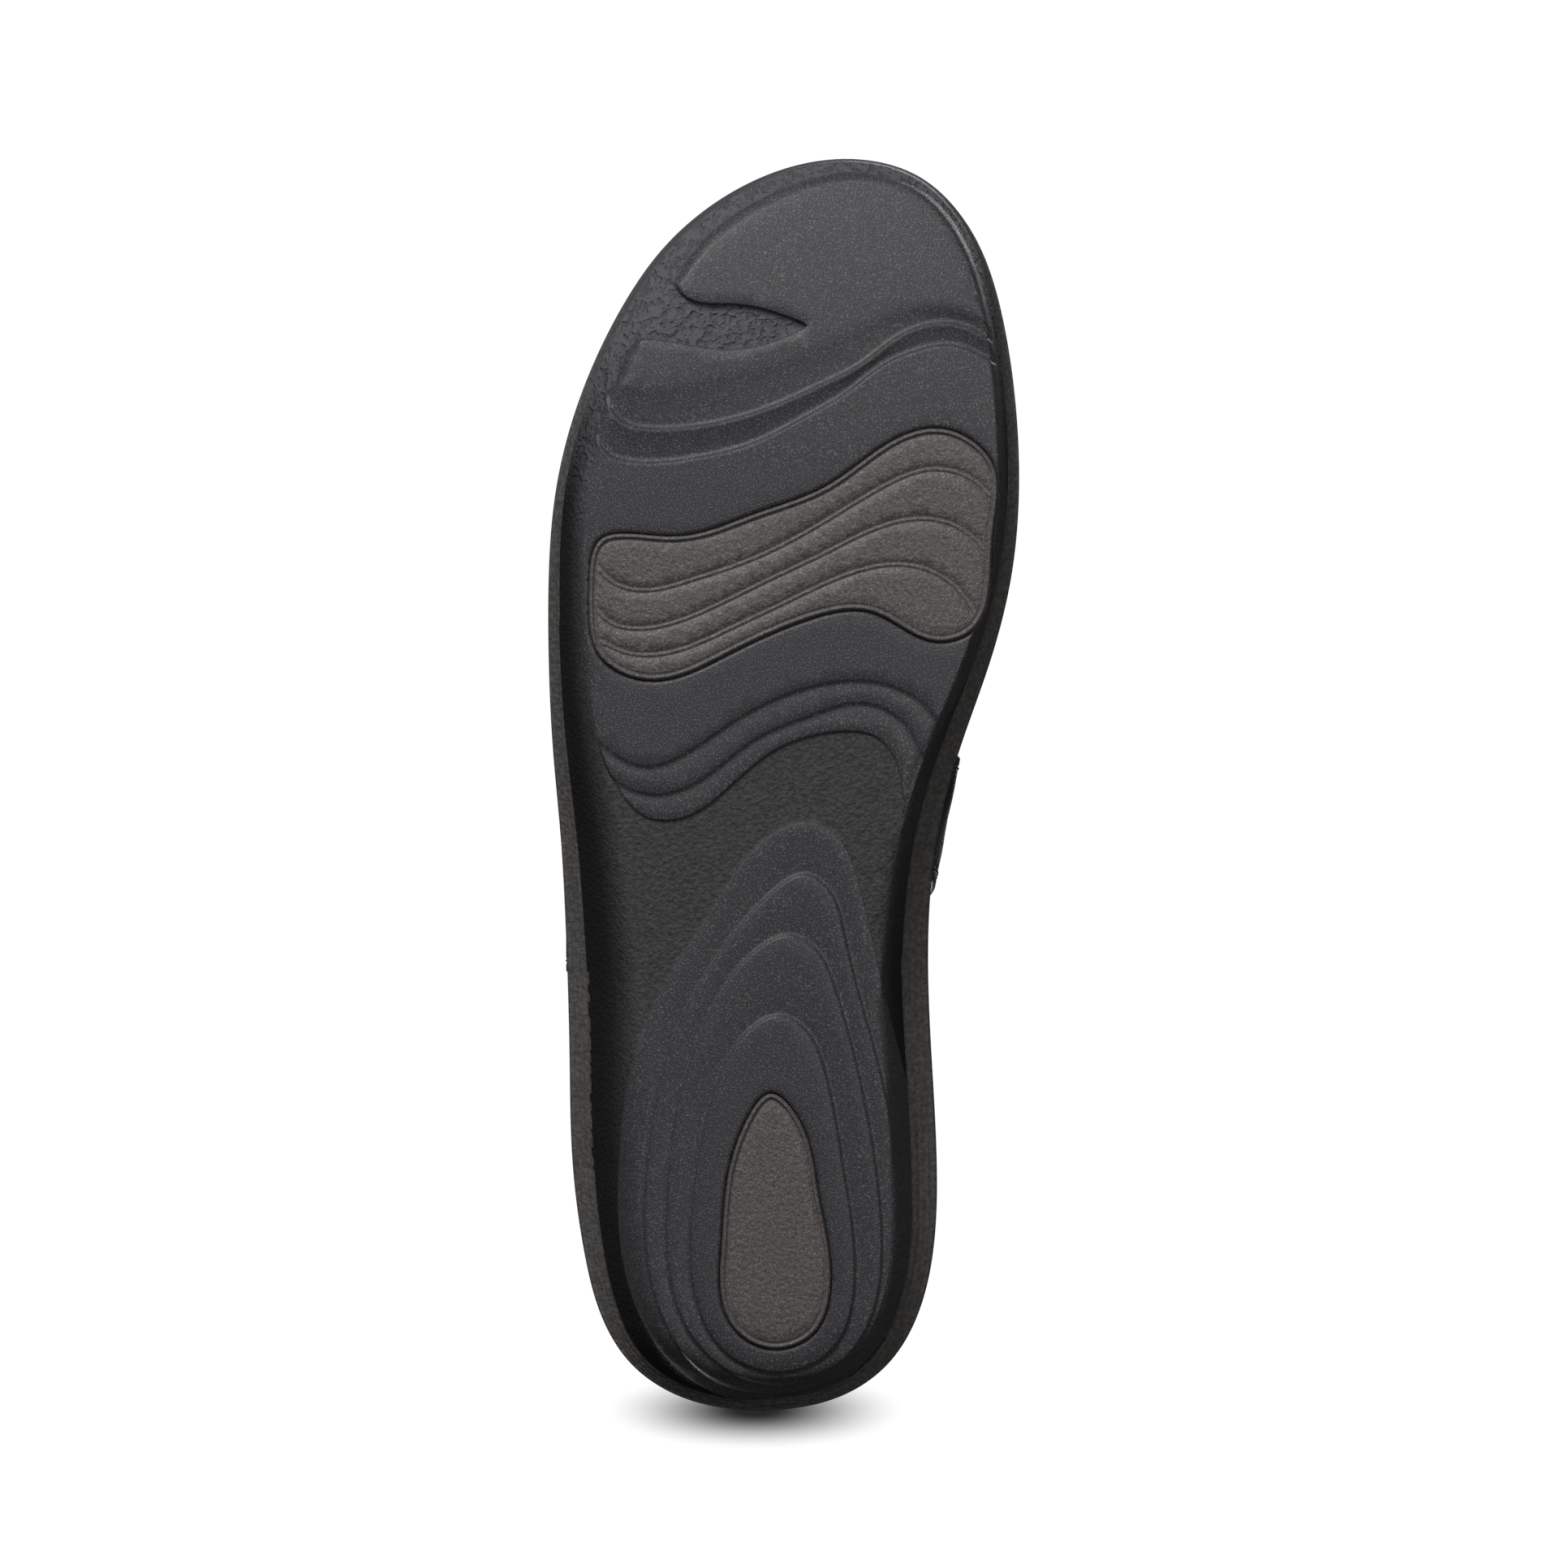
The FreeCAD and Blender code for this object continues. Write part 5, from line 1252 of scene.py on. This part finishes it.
# ---------------------------------------------------------------------------- stage, light and camera
def flat_patch(name, width, length, centre, height, material):
    x, y = centre
    corners = [(x - width / 2, y - length / 2, height), (x + width / 2, y - length / 2, height),
               (x + width / 2, y + length / 2, height), (x - width / 2, y + length / 2, height)]
    patch = new_object(name, corners, [(0, 1, 2, 3)], [material], smooth=False)
    return patch


def fading_patch(name, colour, clear_from_below, middle, half_sizes, solid, strength):
    """Matte stage material that fades out from its middle and is clear from one side."""
    item = Surface(name, colour, 0.9, specular=0.1)
    inputs = (("Vector", item.place), ("Location", [value * MM for value in middle]),
              ("Scale", [value * MM for value in half_sizes]))
    spread = item.add("ShaderNodeMapping", inputs, vector_type="TEXTURE").outputs["Vector"]
    away = item.add("ShaderNodeVectorMath", ((0, spread),), operation="LENGTH").outputs["Value"]
    inputs = (("Value", away), ("From Min", solid), ("To Min", strength), ("To Max", 0))
    fade = item.add("ShaderNodeMapRange", inputs, interpolation_type="SMOOTHSTEP").outputs["Result"]
    behind = item.add("ShaderNodeNewGeometry").outputs["Backfacing"]
    operation = "SUBTRACT" if clear_from_below else "MULTIPLY"
    side = item.add("ShaderNodeMath", ((0, 1), (1, behind)), operation=operation).outputs["Value"]
    both = item.add("ShaderNodeMath", ((0, side), (1, fade)), operation="MULTIPLY").outputs["Value"]
    item.tree.links.new(both, item.shader.inputs["Alpha"])
    return item.material


paper = fading_patch("floor_paper", (0.86, 0.86, 0.86), clear_from_below=True, middle=(0, 0, 0),
                     half_sizes=(1250, 1250, 1000), solid=0.15, strength=1.0)
floor = flat_patch("floor", 2600, 2600, (0, 0), -0.6, paper)
dark = fading_patch("heel_shade", (0.002, 0.002, 0.002), clear_from_below=False, middle=(-6, 131.2, 20),
                    half_sizes=(34, 9.0, 10), solid=0.1, strength=0.98)
shade = flat_patch("heel_shadow", 110, 50, (-6, 131), 20.0, dark)
for item in (floor, shade):
    item.visible_shadow = False
    item.visible_diffuse = False
    item.visible_glossy = False

WORLD_LIGHT = 0.04      # how much the world lights the object
BACKGROUND = 1.03       # how bright the camera sees it
world = bpy.data.worlds.new("studio")
bpy.context.scene.world = world
world.use_nodes = True
sky = world.node_tree.nodes["Background"]
seen = add_node(world.node_tree, "ShaderNodeLightPath").outputs["Is Camera Ray"]
inputs = (("Value", seen), ("To Min", WORLD_LIGHT), ("To Max", BACKGROUND))
strength = add_node(world.node_tree, "ShaderNodeMapRange", inputs).outputs["Result"]
world.node_tree.links.new(strength, sky.inputs["Strength"])
sky.inputs["Color"].default_value = (1, 1, 1, 1)


def softbox(name, place, target, width, power):
    """A square soft light aimed at a point; places in metres."""
    light = bpy.data.lights.new(name, "AREA")
    light.size = width
    light.energy = power
    lamp = bpy.data.objects.new(name, light)
    lamp.location = place
    lamp.rotation_euler = (Vector(target) - Vector(place)).to_track_quat("-Z", "Y").to_euler()
    lamp.visible_camera = False
    bpy.context.scene.collection.objects.link(lamp)


MIDDLE = (0, 0, 0.03)
softbox("key_from_toe", (-0.36, -0.9, -0.68), MIDDLE, 0.6, 10)
softbox("front_fill", (0.55, -0.28, -1.45), MIDDLE, 0.35, 4.4)
softbox("top_light", (0.4, -0.65, 1.7), MIDDLE, 0.9, 48)
softbox("back_light", (-0.6, 0.6, 1.6), MIDDLE, 0.9, 34)

# The camera looks straight at the underside, toe up, from below.
FRAME_WIDTH = 0.3267
LENS = 150
SENSOR = 36
RIM_LEVEL = 0.012       # height at which FRAME_WIDTH fills the picture
camera_data = bpy.data.cameras.new("camera")
camera_data.lens = LENS
camera_data.sensor_width = SENSOR
camera_data.clip_end = 20
camera = bpy.data.objects.new("camera", camera_data)
camera.location = (0, 0, RIM_LEVEL - FRAME_WIDTH * LENS / SENSOR)
camera.rotation_euler = (math.pi, 0, 0)
bpy.context.scene.collection.objects.link(camera)
bpy.context.scene.camera = camera
bpy.context.scene.view_settings.view_transform = "Standard"
